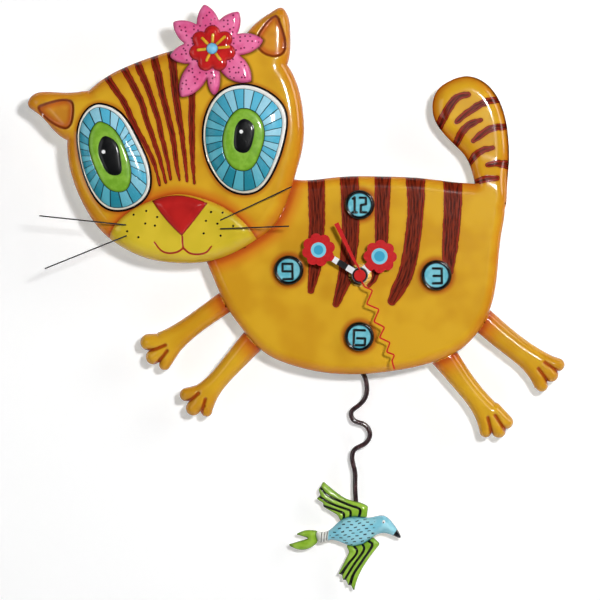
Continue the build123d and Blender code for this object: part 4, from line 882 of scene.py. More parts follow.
def eye_finish(node):
    """Gloss paint in rings: each ring's place is the distance inside its own outline."""
    finish = casting_lacquer(f"{node}_paint", Coat_Weight=0.4, Coat_Roughness=0.05)
    rim, ball, iris, pupil, light = (finish.attribute(key) for key in (*EYE_RINGS, "light"))
    u, _, _ = finish.axes(finish.node("ShaderNodeUVMap", {"uv_map": "around"}))
    turn = u * float(SEGMENTS)
    number = turn.maths("FLOOR")
    off_edge = 0.5 - (turn - number - 0.5).maths("ABSOLUTE")
    segment_width = iris * -0.1 + 2.1 * MM  # wider away from the iris
    line = (off_edge * segment_width).ramp(0.2 * MM, 0.1 * MM)
    odd = number.maths("MODULO", 2.0)
    shift = finish.node("ShaderNodeTexWhiteNoise", {"noise_dimensions": "1D"}, {"W": number})
    strokes = finish.node("ShaderNodeCombineXYZ", values=[u * 420.0, ball * 500.0, 0.0])
    brush = finish.speckle(1.0, 3.0, where=strokes)
    # The blues are painted lighter towards the upper right: painted light falling from that side.
    tone = light + (shift - 0.5) * 0.3 + (brush - 0.5) * 0.8
    pale = finish.mix(srgb(88, 176, 194), srgb(160, 216, 236), tone)
    deep = finish.mix(srgb(38, 136, 156), srgb(92, 190, 222), tone)
    blue = finish.mix(pale, deep, odd)
    black = srgb(16, 14, 14)
    blue = finish.mix(blue, srgb(20, 60, 72), line)
    speck = finish.speckle(400.0, 3.0)
    # The white rim is painted lighter towards the upper right: a painted highlight.
    white = finish.mix(srgb(222, 214, 196), srgb(250, 248, 242), light * 1.2 + (speck - 0.5))
    green = finish.mix(srgb(118, 170, 44), srgb(140, 190, 62), finish.speckle(220.0, 3.0).ramp(0.35, 0.65))
    green = finish.mix(green, srgb(84, 138, 26), iris.ramp(1.4 * MM, 0.4 * MM) * 0.6)
    colour = finish.mix(black, white, rim.ramp(0.15 * MM, 0.4 * MM))
    colour = finish.mix(colour, srgb(30, 44, 50), ball.ramp(-0.2 * MM, -0.08 * MM))
    colour = finish.mix(colour, blue, ball.ramp(0.04 * MM, 0.18 * MM))
    colour = finish.mix(colour, black, iris.ramp(-0.35 * MM, -0.18 * MM))
    colour = finish.mix(colour, green, iris.ramp(0.05 * MM, 0.3 * MM))
    colour = finish.mix(colour, srgb(12, 13, 15), pupil.ramp(-0.2 * MM, 0.0))
    colour = finish.mix(colour, srgb(252, 252, 252), spot(finish, EYE_DOTS[node], 1.05 * MM))
    finish.feed(Base_Color=colour, Roughness=speck * 0.12 + 0.24)
    finish.bump(brush * 0.5 + speck * 0.5, 0.05 * MM)
    return finish.material


for node in ("left_eye", "right_eye"):
    loops = [outline(node, y) for y in levels(node)[3::-1]]
    centre = loops[-1].mean(axis=(0, 1))
    around = ((np.arange(SEGMENTS)[:, None] + IN_SEGMENT) / SEGMENTS).ravel()
    turns = 2 * np.pi * around
    radii = np.stack([crossings(bits, centre, turns) for bits in loops] + [np.zeros(len(turns))])
    # The white rim is made wider towards the upper right and narrower opposite: partly its own width, partly
    # a painted highlight where the lamp catches the rim.
    radii[1] += WHITE_TRIM - WHITE_HIGHLIGHT_SHIFT * np.cos(turns - WHITE_HIGHLIGHT_WAY)
    ovals = centre + radii[:4, :, None] * np.stack([np.cos(turns), np.sin(turns)], axis=-1)
    outlines = np.stack([ovals, np.roll(ovals, -1, axis=1)], axis=2)
    steps, heights = EYE_PROFILE.T
    inner = np.minimum(steps.astype(int), 3)
    share = (steps - inner)[:, None]
    radius = radii[inner] * (1 - share) + radii[inner + 1] * share
    on_ball = (steps > 1.1) & (steps < 1.95)
    groove = np.where(on_ball[:, None] & (np.tile(IN_SEGMENT, SEGMENTS) == 0), GROOVE, 0)
    rings = np.stack([
        centre[0] + radius * np.cos(turns),
        head_y - heights[:, None] * MM + groove,
        centre[1] + radius * np.sin(turns)], axis=-1)

    def eye_notes(points):
        """The distance inside each ring's outline, and how far each point lies towards the upper right, for
        painted light from that side.
        """
        depths = {key: depth_inside(points, bits) for key, bits in zip(EYE_RINGS, outlines)}
        return {**depths, "light": 0.45 + ((points - centre) @ [0.8, 0.6]) / (30 * MM)}

    eye = ringed(f"cat_{node}", rings, around, eye_notes)
    fitted(eye, node, "clock", "eye_paint", eye_finish(node))


# ---- Muzzle: a paler yellow shape over the lower face, its lower edge following the head's rim, with
# a mouth line cut in and painted, and black dots where whiskers would grow.
MUZZLE_STEP = 0.5 * MM
MUZZLE_RIM, MUZZLE_RISE, MUZZLE_EDGE = 5.0 * MM, 2.0 * MM, 0.35 * MM
MUZZLE_INSET, DOT_FAR = 0.25 * MM, 4 * MM
MOUTH_DEPTH, MOUTH_WIDTH = 0.25 * MM, 0.5 * MM
MOUTH = brush_lines(
    [(-100.8, 22, 0.9), (-100.6, 18, 0.9), (-100.2, 15.2, 0.9)],
    [(-116.7, 18.8, 0.7), (-112.9, 14.2, 0.8), (-108.7, 12.6, 0.9), (-103.8, 13.2, 0.9), (-100.2, 15.4, 0.9)],
    [(-100.2, 15.4, 0.9), (-96.6, 12.6, 0.9), (-91.7, 11.9, 0.9), (-87.2, 13.1, 0.8), (-84.2, 16.5, 0.7)])
WHISKER_DOTS = at(
    (-128.4, 34.4), (-121.2, 36.5), (-115, 33.1), (-121.8, 29.4), (-116.3, 28.2), (-132.1, 25),
    (-125.7, 21.6), (-84.4, 35.9), (-77.8, 35.6), (-87.3, 30.9), (-80.8, 29.3), (-88.6, 23.8),
    (-71.8, 28), (-79, 22.5))


def muzzle_reach(points):
    """How far points of the front plane lie inside the outline of the muzzle."""
    return np.minimum(depth_inside(points, muzzle_outline), head_reach(points) - MUZZLE_INSET)


def arch(inside, width):
    """A quarter circle's rise: 0 at the edge, 1 at that width inside it."""
    return np.sqrt(1 - (1 - np.clip(inside / width, 0, 1)) ** 2)


def muzzle_skin(points):
    """The head's rounded face, raised by an arch from the muzzle's own edges."""
    free, _ = nearest(points, muzzle_free)
    below = head_reach(points)
    rise = MUZZLE_EDGE + MUZZLE_RISE * arch(free, MUZZLE_RIM) * arch(below, 2.0 * MUZZLE_RIM)
    return head_y - rounded(below, HEAD_RIM, HEAD_DROP) - rise


def muzzle_front(points):
    """The muzzle's skin with the mouth line cut into it."""
    mouth, _ = nearest(points, MOUTH[0])
    return muzzle_skin(points) + MOUTH_DEPTH * np.exp(-(mouth / MOUTH_WIDTH) ** 2)


def muzzle_notes(points):
    """What the paint follows: the distances to the upper edge, the nearest dot and the head's rim, and
    how far inside the mouth line each point is."""
    dots = np.linalg.norm(points[:, None] - WHISKER_DOTS[None], axis=2).min(axis=1)
    return {
        "rim": np.minimum(nearest(points, muzzle_free)[0], FAR), "mouth": painted(points, MOUTH)[0],
        "dot": np.minimum(dots, DOT_FAR), "lower": np.minimum(head_reach(points), FAR)}


muzzle = relief("cat_muzzle", *spread("muzzle"), MUZZLE_STEP, muzzle_reach, 3 * MM, muzzle_front,
                head_y + HEAD_DROP - 1.2 * MM, muzzle_notes)
finish = casting_lacquer("muzzle_lacquer")
yellow = finish.mix(srgb(212, 186, 44), srgb(226, 198, 54), finish.speckle(45.0, 2.0).ramp(0.34, 0.62))
yellow = finish.mix(yellow, ORANGE, finish.attribute("rim").ramp(2.8 * MM, 0.0) * 0.45)
yellow = finish.mix(yellow, DEEP_YELLOW, finish.attribute("lower").ramp(6 * MM, 0.0) * 0.5)
yellow = finish.mix(yellow, srgb(165, 38, 30), finish.attribute("mouth").ramp(-0.22 * MM, 0.0))
yellow = finish.mix(yellow, srgb(24, 16, 14), finish.attribute("dot").ramp(0.82 * MM, 0.58 * MM))
finish.feed(Base_Color=yellow)
gloss(finish, 0.17)
fitted(muzzle, "muzzle", "clock", "muzzle_lacquer", finish.material, raw_resin())


# ---- Nose: a red rounded triangle, domed, on top of the muzzle.
NOSE_STEP, NOSE_RIM, NOSE_RISE = 0.45 * MM, 5.0 * MM, 2.1 * MM
nose_outline = whole("nose")


def nose_reach(points):
    """How far points of the front plane lie inside the outline of the nose."""
    return depth_inside(points, nose_outline)


def nose_front(points):
    """The muzzle's face raised by an arch from the nose's edge."""
    return muzzle_skin(points) - 0.35 * MM - NOSE_RISE * arch(nose_reach(points), NOSE_RIM)


nose = relief("cat_nose", *spread("nose"), NOSE_STEP, nose_reach, 3 * MM, nose_front, head_y + 1 * MM,
              lambda points: {"rim": nose_reach(points)})
finish = casting_lacquer("nose_paint", Roughness=0.18)
red = finish.mix(srgb(176, 32, 32), srgb(196, 38, 36), finish.speckle(70.0, 2.0).ramp(0.34, 0.64))
finish.feed(Base_Color=finish.mix(red, srgb(128, 18, 20), finish.attribute("rim").ramp(1.1 * MM, 0.0) * 0.8))
finish.feed(Roughness=finish.speckle(420.0) * 0.1 + 0.14)
finish.bump(finish.speckle(150.0, 2.0), 0.1 * MM)
fitted(nose, "nose", "clock", "nose_paint", finish.material, raw_resin())


# ---- Flower over the right ear: eight pink petals with a dotted face, a red blossom of seven lobes,
# seven yellow stamens and a pale blue bead, each a layer of the casting.
CORNER_STEP = 0.2 * MM


def softened(bits, times):
    """An outline cut into bits of one short length, each point then moved, a few times over, halfway
    to the middle of its two neighbours, which rounds the corners."""
    counts = np.ceil(np.linalg.norm(bits[:, 1] - bits[:, 0], axis=1) / CORNER_STEP).astype(int)
    which = np.repeat(np.arange(len(bits)), counts)
    number = np.arange(len(which)) - np.repeat(np.cumsum(counts) - counts, counts)
    ends = [
        bits[which, 0] + ((number + late) / counts[which])[:, None] * (bits[which, 1] - bits[which, 0])
        for late in (0, 1)]
    points, index = np.unique(np.round(np.concatenate(ends), 7), axis=0, return_inverse=True)
    before, after = index.ravel().reshape(2, -1)
    for _ in range(times):
        pull = np.zeros_like(points)
        np.add.at(pull, before, points[after])
        np.add.at(pull, after, points[before])
        points = (points + pull / 2) / 2
    return np.stack([points[before], points[after]], axis=1)


def pillow(name, node, step, rim_width, drop, sink=0.0, extra=None, corner_times=10):
    """A node's outline with its front rounded off, sunk a little into what is behind it."""
    edge = softened(outline(node, levels(node)[0]), corner_times)
    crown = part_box(node)[0][1]

    def reach(points):
        return depth_inside(points, edge)

    def front(points):
        shape = crown - rounded(reach(points), rim_width, drop)
        return shape if extra is None else shape + extra(points)

    def notes(points):
        return {"rim": reach(points)}

    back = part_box(node)[1][1] + sink
    return relief(name, *spread(node), step, reach, min(rim_width, 3 * MM), front, back, notes)


def flower_paint(name, low, high, edge, edge_reach):
    """Gloss paint, cloudy, darker near the edge of the piece. Returns the finish and its colour."""
    finish = casting_lacquer(name, Roughness=0.2)
    cloud = finish.mix(low, high, finish.speckle(130.0, 2.0).ramp(0.34, 0.64))
    finish.feed(Roughness=finish.speckle(500.0) * 0.12 + 0.14)
    finish.bump(finish.speckle(240.0, 2.0), 0.08 * MM)
    return finish, finish.mix(cloud, edge, finish.attribute("rim").ramp(edge_reach, 0.0) * 0.7)


petals = pillow("pink_petals", "flower_petals", 0.5 * MM, 4.5 * MM, 2.7 * MM, 1.5 * MM, corner_times=30)
finish, pink = flower_paint(
    "petal_paint", srgb(228, 92, 146), srgb(244, 122, 172), srgb(188, 54, 112), 1.6 * MM)
x, _, z = finish.axes(finish.place())
flat = finish.node("ShaderNodeCombineXYZ", values=[x, z, 0.0])
dots = finish.node("ShaderNodeTexVoronoi", {"voronoi_dimensions": "2D"},
                   {"Vector": flat, "Scale": 300.0, "Randomness": 0.75})
dotted = dots.ramp(0.19, 0.13) * finish.attribute("rim").ramp(1 * MM, 1.6 * MM)
finish.feed(Base_Color=finish.mix(pink, srgb(110, 20, 60), dotted * 0.9))
fitted(petals, "flower_petals", "clock", "petal_paint", finish.material, raw_resin())

blossom = pillow("red_blossom", "flower_blossom", 0.4 * MM, 3.2 * MM, 2.6 * MM, 2.5 * MM)
finish, red = flower_paint("blossom_paint", srgb(188, 30, 32), srgb(208, 38, 36), srgb(130, 16, 24), 1.2 * MM)
finish.feed(Base_Color=red)
fitted(blossom, "flower_blossom", "clock", "blossom_paint", finish.material, raw_resin())

stamens = pillow("yellow_stamens", "flower_stamens", 0.25 * MM, 0.9 * MM, 0.8 * MM, 1.5 * MM)
finish, yellow = flower_paint(
    "stamen_paint", srgb(226, 168, 34), srgb(244, 196, 60), srgb(180, 96, 20), 0.4 * MM)
finish.feed(Base_Color=yellow)
fitted(stamens, "flower_stamens", "clock", "stamen_paint", finish.material, raw_resin())

bead = pillow("blue_bead", "flower_bead", 0.25 * MM, 3.0 * MM, 1.7 * MM, 1.5 * MM)
finish, blue = flower_paint(
    "bead_paint", srgb(110, 190, 230), srgb(150, 214, 240), srgb(70, 150, 205), 1.0 * MM)
finish.feed(Base_Color=blue)
fitted(bead, "flower_bead", "clock", "bead_paint", finish.material, raw_resin())


# ---- Hour buttons: four round resin buttons with a black gloss rim and a sunk pale blue face, on
# which the hour stands in raised black strokes.
BUTTON_STEP, BUTTON_SINK = 0.28 * MM, 0.8 * MM
RIM_BAND, RIM_RISE, RIM_FALL = 2.05 * MM, 3.2 * MM, 0.9 * MM
DIGIT_RISE, DIGIT_HALF = 0.35 * MM, 0.575 * MM
DIGIT_STROKES = {
    12: [[(-3.8, 3.5), (-2.8, 4.2), (-2.8, -4.2)], [(-4.0, -4.3), (-1.6, -4.3)],
         [(0.2, 4.1), (3.6, 4.0), (3.7, 0.4), (0.8, -0.2), (0.7, -4.2), (4.0, -4.3)]],
    3: [[(-1.9, 4.0), (3.0, 3.9), (3.1, -4.4), (-1.9, -4.5)], [(-1.6, -0.3), (3.0, -0.3)]],
    6: [[(3.2, 3.6), (-3.0, 3.8), (-3.2, -4.8), (3.2, -4.9), (3.3, -1.0), (-1.2, -0.9)]],
    9: [[(2.0, -0.6), (-3.4, -0.6), (-3.5, 3.6), (2.1, 3.6), (2.2, -5.0), (-3.0, -5.1)]],
}


def stroke_bits(strokes, centre):
    """Strokes of straight runs, in millimetres from the button's centre, as straight bits."""
    paths = [np.array(stroke) * MM + centre for stroke in strokes]
    return np.concatenate([np.stack([path[:-1], path[1:]], axis=1) for path in paths])


def button_finish():
    """Mottled blue face, darker beside the black rim and round the black digits."""
    finish = casting_lacquer("button_paint", Roughness=0.15)
    rim, digit = finish.attribute("rim"), finish.attribute("digit")
    face = finish.mix(srgb(98, 186, 204), srgb(134, 208, 222), finish.speckle(190.0, 3.0).ramp(0.34, 0.64))
    face = finish.mix(face, srgb(40, 120, 140), rim.ramp(2.7 * MM, 2.1 * MM) * 0.8)
    face = finish.mix(face, srgb(20, 74, 86), digit.ramp(-0.45 * MM, -0.1 * MM) * 0.6)
    face = finish.mix(face, srgb(12, 12, 14), digit.ramp(-0.12 * MM, 0.08 * MM))
    black = finish.mix(srgb(9, 9, 11), srgb(24, 24, 27), finish.speckle(300.0, 3.0).ramp(0.4, 0.7))
    finish.feed(Base_Color=finish.mix(black, face, rim.ramp(1.98 * MM, 2.16 * MM)))
    finish.feed(Roughness=finish.speckle(420.0) * 0.1 + 0.1)
    finish.bump(finish.speckle(220.0, 2.0), 0.06 * MM)
    return finish.material


button_gloss = button_finish()
for hour, strokes in DIGIT_STROKES.items():
    node = f"hour_button_{hour}"
    low, high = spread(node)
    centre, radius = (low + high) / 2, (high[0] - low[0]) / 2
    digit_bits = stroke_bits(strokes, centre)
    base_y, face_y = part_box(node)[1][1], levels(node)[1]

    def button_reach(points):
        return radius - np.linalg.norm(points - centre, axis=1)

    def digit_depth(points):
        return DIGIT_HALF - nearest(points, digit_bits)[0]

    def button_front(points):
        """A half-round rim about a face sunk below its top, with the strokes rounded up from it."""
        inside = button_reach(points)
        swing = np.clip(2 * inside / RIM_BAND - 1, -1, 1)
        rise = np.where(inside < RIM_BAND / 2, RIM_RISE, RIM_FALL)
        rim_y = base_y - RIM_RISE - BUTTON_SINK + rise * (1 - np.sqrt(1 - swing ** 2))
        deepest = np.where(inside < RIM_BAND / 2, base_y, face_y + 0.3 * MM)
        face = face_y - DIGIT_RISE * np.sqrt(np.clip(digit_depth(points) / DIGIT_HALF, 0, 1))
        return np.where(inside < RIM_BAND, np.minimum(rim_y, deepest), face)

    def button_notes(points):
        return {"rim": button_reach(points), "digit": digit_depth(points)}

    button = relief(f"button_{hour}", low, high, BUTTON_STEP, button_reach, 0.8 * MM, button_front,
                    base_y + BUTTON_SINK, button_notes)
    fitted(button, node, "clock", "button_paint", button_gloss, raw_resin())


# ---- Pieces whose plain shape is the real one keep it, and take only a finish.
def dress(finish, *nodes):
    """Gives nodes that stay in view their finish."""
    for node in nodes:
        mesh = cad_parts[node].data
        mesh.materials.clear()
        mesh.materials.append(finish.material)


def metal(name, dull, bright, roughness, grain=900.0):
    """Bare metal: fine scratches mostly one way, and a cloudy tint where it has tarnished."""
    finish = Finish(name, Metallic=1.0)
    x, y, z = finish.axes(finish.place())
    scratches = finish.speckle(grain, 4.0, where=finish.node("ShaderNodeCombineXYZ", values=[x * 0.06, y, z]))
    finish.feed(
        Base_Color=finish.mix(dull, bright, finish.speckle(110.0, 3.0).ramp(0.32, 0.66)),
        Roughness=scratches * 0.25 + (roughness - 0.12))
    finish.bump(scratches, 0.04 * MM)
    return finish


def plastic(name, low, high, roughness, grain=700.0, height=0.05 * MM):
    """Moulded plastic: an even, finely grained skin with a little dust in it."""
    finish = Finish(name, Specular_IOR_Level=0.45)
    skin = finish.speckle(grain, 4.0)
    cloud = finish.speckle(50.0, 3.0).ramp(0.3, 0.7)
    finish.feed(Base_Color=finish.mix(low, high, cloud * 0.6 + skin * 0.4))
    finish.feed(Roughness=skin * 0.2 + (roughness - 0.1))
    finish.bump(skin, height)
    return finish


# ---- Hub: the movement's threaded brass bushing comes through the dial and a brass washer and nut
# hold it; the minute hand's steel-cored brass arbor runs inside it.
dress(metal("polished_brass", srgb(176, 128, 54), srgb(232, 190, 100), 0.28),
      "shaft_bushing", "hub_washer", "hub_nut", "minute_arbor")


# ---- Hands: stamped sheet metal, printed on the front with a red flower, its blue eye, and a stem in
# white and black bars; the back and the pressed-on boss are black.
def hand_finish(name, flower_place, eye_radius, core_radius, boss_radius, bars, printed_y):
    """Printed colours by distance from the flower's middle and from the shaft. A bar is where a black
    band on the stem starts and ends."""
    finish = Finish(name, Roughness=0.35, Specular_IOR_Level=0.15, Coat_Weight=0.3, Coat_Roughness=0.1)
    _, y, _ = finish.axes(finish.place())
    ink = finish.speckle(600.0, 3.0)
    black = finish.mix(srgb(14, 14, 16), srgb(30, 30, 33), ink)
    stem = finish.mix(srgb(232, 236, 238), srgb(246, 248, 248), ink)
    for start, end in bars:
        bar = spot(finish, (0, 0), end, 0.1 * MM) * (1 - spot(finish, (0, 0), start, 0.1 * MM))
        stem = finish.mix(stem, black, bar)
    red = finish.mix(srgb(192, 18, 24), srgb(206, 24, 28), ink.ramp(0.3, 0.7))
    eye = finish.mix(srgb(108, 200, 226), srgb(140, 216, 236), ink)
    flower = finish.mix(red, eye, spot(finish, flower_place, eye_radius))
    flower = finish.mix(flower, srgb(58, 164, 202), spot(finish, flower_place, core_radius))
    colour = finish.mix(stem, flower, spot(finish, flower_place, 9.9 * MM))
    colour = finish.mix(colour, black, spot(finish, (0, 0), boss_radius))
    finish.feed(Base_Color=finish.mix(black, colour, y.ramp(printed_y + 0.25 * MM, printed_y + 0.05 * MM)))
    finish.feed(Roughness=ink * 0.2 + 0.22)
    finish.bump(ink, 0.03 * MM)
    return finish


MINUTE_FLOWER, HOUR_FLOWER = (-23.5, 14.4), (11.1, 10.8)
dress(hand_finish("minute_hand_print", MINUTE_FLOWER, 4.3 * MM, 2.7 * MM, 4.35 * MM,
                  [(8.8 * MM, 14.7 * MM)], levels("minute_hand")[1]), "minute_hand")
dress(hand_finish("hour_hand_print", HOUR_FLOWER, 4.6 * MM, 3.0 * MM, 4.55 * MM,
                  [], levels("hour_hand")[1]), "hour_hand")

finish = Finish(
    "second_hand_paint", Roughness=0.3, Specular_IOR_Level=0.15, Coat_Weight=0.3, Coat_Roughness=0.1)
ink = finish.speckle(500.0, 3.0)
finish.feed(Base_Color=finish.mix(srgb(194, 20, 22), srgb(210, 28, 28), ink), Roughness=ink * 0.2 + 0.2)
finish.bump(ink, 0.03 * MM)
dress(finish, "second_hand")


# ---- Whiskers: four stiff black enamelled wires in sockets in the muzzle. The pendulum's rod is a
# thicker wire with a dark brown gloss.
def enamel(name, low, high, roughness):
    """Dipped paint on wire, with slow runs in it."""
    finish = Finish(name, Coat_Weight=0.7, Coat_Roughness=0.08)
    runs = finish.speckle(220.0, 3.0)
    finish.feed(Base_Color=finish.mix(low, high, runs.ramp(0.35, 0.65)))
    finish.feed(Roughness=runs * 0.2 + (roughness - 0.1))
    finish.bump(runs, 0.1 * MM)
    return finish


dress(enamel("whisker_wire", srgb(12, 12, 13), srgb(30, 29, 30), 0.3),
      "whisker_left_upper", "whisker_left_lower", "whisker_right_upper", "whisker_right_lower")
dress(enamel("rod_paint", srgb(38, 20, 26), srgb(66, 38, 40), 0.25), "pendulum_rod")


# ---- Bird: the pendulum's bob, cast in resin in four parts: a blue body with a dark beak, dark
# dashes and a banded rump, two green wings cut with three black grooves each, and a forked tail.
BIRD_STEP = 0.4 * MM
WING_GROOVE, WING_GROOVE_WIDTH = 1.0 * MM, 0.65 * MM
WING_GROOVES = brush_lines(
    [(-23.2, -122, 0.9), (-19.8, -125.9, 1), (-15.7, -128.5, 1), (-10.4, -130.8, 1), (-5.2, -132.9, 1),
     (-1.2, -134.2, 1.1), (0.1, -135.8, 1.2), (-0.6, -139.5, 1.2)],
    [(-23.5, -127.5, 0.9), (-18.8, -130.6, 1), (-13.6, -132.9, 1), (-8.4, -134.7, 1), (-5.7, -136.1, 1.1),
     (-5.6, -140, 1.1)],
    [(-21, -133, 0.9), (-16.2, -134.7, 1), (-11.5, -136.3, 1), (-9.4, -137.6, 1.1), (-9.5, -141, 1.1)],
    [(4.7, -153, 1.1), (6.9, -156, 1.1), (1.6, -164.3, 1.1), (-3.6, -172.1, 1.2), (-5.8, -178.6, 1.5)],
    [(0.3, -154, 1), (2.2, -158.2, 1.1), (-3.6, -166.9, 1), (-8.9, -175.6, 1)],
    [(-3.6, -156, 1), (-1.8, -159.9, 1), (-7.1, -166.9, 1.1), (-10.8, -172.5, 1.4)])
BIRD_GREENS = srgb(136, 182, 46), srgb(162, 204, 68), srgb(92, 132, 36)


def wing_cut(points):
    """A groove along each line between feathers."""
    groove, _ = nearest(points, WING_GROOVES[0])
    return WING_GROOVE * np.exp(-(groove / WING_GROOVE_WIDTH) ** 2)


def groove_note(piece):
    """Notes the distance to the nearest groove at each point of a wing."""
    points = np.empty(len(piece.data.vertices) * 3)
    piece.data.vertices.foreach_get("co", points)
    inside = painted(points.reshape(-1, 3)[:, [0, 2]], WING_GROOVES)[0]
    layer = piece.data.attributes.new("groove", "FLOAT", "POINT")
    layer.data.foreach_set("value", np.clip(inside, -3 * MM, 3 * MM).astype(np.float32))


finish, green = flower_paint("wing_paint", *BIRD_GREENS, 1.0 * MM)
in_groove = finish.attribute("groove").ramp(-0.3 * MM, -0.05 * MM)
finish.feed(Base_Color=finish.mix(green, srgb(14, 16, 12), in_groove))
for node in ("bird_upper_wing", "bird_lower_wing"):
    wing = pillow(f"feathers_{node}", node, BIRD_STEP, 2.4 * MM, 2.2 * MM, extra=wing_cut, corner_times=45)
    groove_note(wing)
    fitted(wing, node, "pendulum", "bird_green_paint", finish.material, raw_resin())

TAIL_FORK = (-30.6, -151.6)
forked_tail = pillow("forked_tail", "bird_tail", BIRD_STEP, 4.0 * MM, 2.6 * MM, corner_times=60)
finish, green = flower_paint("tail_paint", *BIRD_GREENS, 1.0 * MM)
fork = spot(finish, TAIL_FORK, 0.7 * MM, 0.7 * MM)
finish.feed(Base_Color=finish.mix(green, srgb(24, 30, 14), fork * 0.8))
fitted(forked_tail, "bird_tail", "pendulum", "bird_green_paint", finish.material, raw_resin())

# The beak is what lies past a line through its edge, square to its way. The bands are lines across
# the rump, left of where the white ends, and the dashes stand in rows that climb a little.
BEAK_EDGE, BEAK_WAY = (20.6, -147.2), (0.83, -0.55)
BIRD_EYE = (13.6, -141.8)
BAND_RIGHT, BAND_LINES = -18.4, (-22.2, -20.6, -19.1)
DASH_ROW, DASH_PITCH, DASH_SLOPE, DASH_SHIFT = 1.75 * MM, 4.6 * MM, 0.12, 0.41


def eye_bead(points):
    """A small raised bell about the bird's eye."""
    away = ((points - at(BIRD_EYE)) ** 2).sum(axis=1)
    return -0.4 * MM * np.exp(-away / (0.9 * MM) ** 2)


bird = pillow("blue_bird", "bird_body", BIRD_STEP, 7.5 * MM, 6.3 * MM, extra=eye_bead)
finish, blue = flower_paint(
    "bird_paint", srgb(134, 210, 230), srgb(164, 226, 240), srgb(96, 180, 208), 1.4 * MM)
x, _, z = finish.axes(finish.place())
ahead, above = x - HUB_X, z - HUB_Z
wander = finish.speckle(180.0, 1.0) - 0.5
climbed = (above - ahead * DASH_SLOPE) / DASH_ROW + wander * 1.2
row = climbed.maths("FLOOR")
off_row = (climbed - row - 0.5).maths("ABSOLUTE")
offset = finish.node("ShaderNodeTexWhiteNoise", {"noise_dimensions": "1D"}, {"W": row})
passed = ahead / DASH_PITCH + row * DASH_SHIFT + offset * 0.3
off_dash = (passed - passed.maths("FLOOR") - 0.5).maths("ABSOLUTE")
feathered = ahead.ramp(-17.8 * MM, -17.0 * MM) * ahead.ramp(9.2 * MM, 7.2 * MM)
feathered = feathered * finish.attribute("rim").ramp(0.5 * MM, 1.1 * MM)
dash = off_row.ramp(0.22, 0.15) * off_dash.ramp(0.22, 0.17)
blue = finish.mix(blue, srgb(16, 46, 60), dash * feathered * 0.95)
tilted = ahead - (above + 151 * MM) * 0.1
white = finish.mix(srgb(236, 236, 230), srgb(250, 250, 246), wander + 0.5)
for line in BAND_LINES:
    off_line = (tilted - line * MM).maths("ABSOLUTE")
    white = finish.mix(white, srgb(24, 28, 30), off_line.ramp(0.30 * MM, 0.15 * MM))
blue = finish.mix(blue, white, tilted.ramp((BAND_RIGHT + 0.15) * MM, (BAND_RIGHT - 0.15) * MM))
beyond = (ahead - BEAK_EDGE[0] * MM) * BEAK_WAY[0] + (above - BEAK_EDGE[1] * MM) * BEAK_WAY[1]
blue = finish.mix(blue, srgb(18, 20, 26), beyond.ramp(-0.1 * MM, 0.2 * MM))
blue = finish.mix(blue, srgb(250, 250, 248), spot(finish, BIRD_EYE, 0.85 * MM))
blue = finish.mix(blue, srgb(14, 14, 16), spot(finish, (BIRD_EYE[0] - 0.1, BIRD_EYE[1] - 0.45), 0.42 * MM))
finish.feed(Base_Color=blue)
fitted(bird, "bird_body", "pendulum", "bird_blue_paint", finish.material, raw_resin())


# ---- Hanger: a zinc-plated steel plate with a keyhole, held on the back by two countersunk screws.
dress(metal("plated_steel", srgb(150, 152, 154), srgb(206, 208, 208), 0.36),
      "hanger_plate", "hanger_screws", "pivot_pin", "contact_plus", "contact_minus")


# ---- Movement: a black plastic case and cover with a ribbed grey setting knob, nylon wheels, a board,
# a motor, and the pendulum's magnet drive below.
dress(plastic("case_plastic", srgb(34, 34, 36), srgb(56, 56, 58), 0.5, 1500.0, 0.06 * MM),
      "movement_case", "back_cover")
dress(plastic("knob_plastic", srgb(96, 98, 102), srgb(128, 130, 134), 0.42), "setting_knob", "setting_stem")
dress(plastic("gear_plastic", srgb(226, 222, 208), srgb(242, 240, 230), 0.38),
      "seconds_wheel", "third_wheel", "centre_wheel", "step_wheel", "rotor_pinion", "minute_wheel",
      "hour_wheel")
dress(plastic("plate_plastic", srgb(196, 190, 170), srgb(216, 212, 196), 0.45), "gear_plate")
dress(plastic("arm_plastic", srgb(22, 22, 24), srgb(40, 40, 42), 0.45), "pendulum_arm")
dress(plastic("chip_resin", srgb(14, 14, 15), srgb(28, 28, 30), 0.6, 2200.0), "timing_chip")
dress(metal("crystal_can", srgb(170, 172, 172), srgb(214, 214, 212), 0.24), "quartz_crystal")
dress(metal("soft_iron", srgb(92, 92, 94), srgb(142, 142, 144), 0.4), "motor_stator", "coil_core")
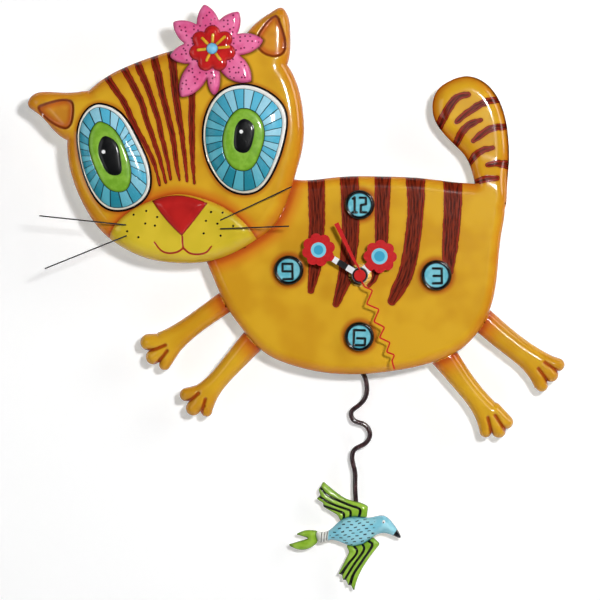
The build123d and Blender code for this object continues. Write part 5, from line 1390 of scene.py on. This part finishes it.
dress(plastic("ferrite", srgb(38, 38, 42), srgb(60, 60, 64), 0.5, 1800.0), "rotor_magnet", "drive_magnet")

finish = Finish("board_laminate", Coat_Weight=0.3)
x, _, z = finish.axes(finish.place())
flat = finish.node("ShaderNodeCombineXYZ", values=[x, z, 0.0])
tracks = finish.node("ShaderNodeTexVoronoi", {"voronoi_dimensions": "2D", "distance": "MANHATTAN"},
                     {"Vector": flat, "Scale": 420.0})
finish.feed(Base_Color=finish.mix(srgb(20, 92, 50), srgb(56, 138, 74), tracks.ramp(0.5, 0.56)))
finish.feed(Roughness=finish.speckle(900.0) * 0.3 + 0.2)
dress(finish, "circuit_board")

finish = Finish("copper_winding", Metallic=0.85)
_, y, z = finish.axes(finish.place())
turns_seen = ((y + z * 0.02) * 26000.0).maths("SINE") * 0.5 + 0.5
finish.feed(Base_Color=finish.mix(srgb(120, 50, 22), srgb(206, 110, 60), turns_seen))
finish.feed(Roughness=finish.speckle(800.0) * 0.3 + 0.2)
finish.bump(turns_seen, 0.1 * MM)
dress(finish, "motor_coil", "drive_coil")


# ---- Battery: one AA cell in a printed sleeve, dark with a gold band, and bare steel at both ends.
cell_low, cell_high = spread("battery_cell")
finish = Finish("cell_sleeve", Coat_Weight=0.5, Coat_Roughness=0.12)
x, _, _ = finish.axes(finish.place())
along = (x - float(cell_low[0])) / float(cell_high[0] - cell_low[0])
grit = finish.speckle(900.0, 3.0)
steel = along.ramp(0.022, 0.014) + along.ramp(0.965, 0.975)
gold = along.ramp(0.655, 0.665)
shown = finish.mix(srgb(24, 30, 48), srgb(196, 148, 62), gold)
shown = finish.mix(shown, srgb(226, 226, 222), along.ramp(0.640, 0.644) * along.ramp(0.662, 0.658))
shown = finish.mix(shown, finish.mix(srgb(150, 150, 150), srgb(205, 205, 203), grit), steel)
finish.feed(Base_Color=shown, Metallic=steel * 0.9 + gold * 0.3, Roughness=grit * 0.2 + 0.2)
finish.bump(grit, 0.03 * MM)
dress(finish, "battery_cell")
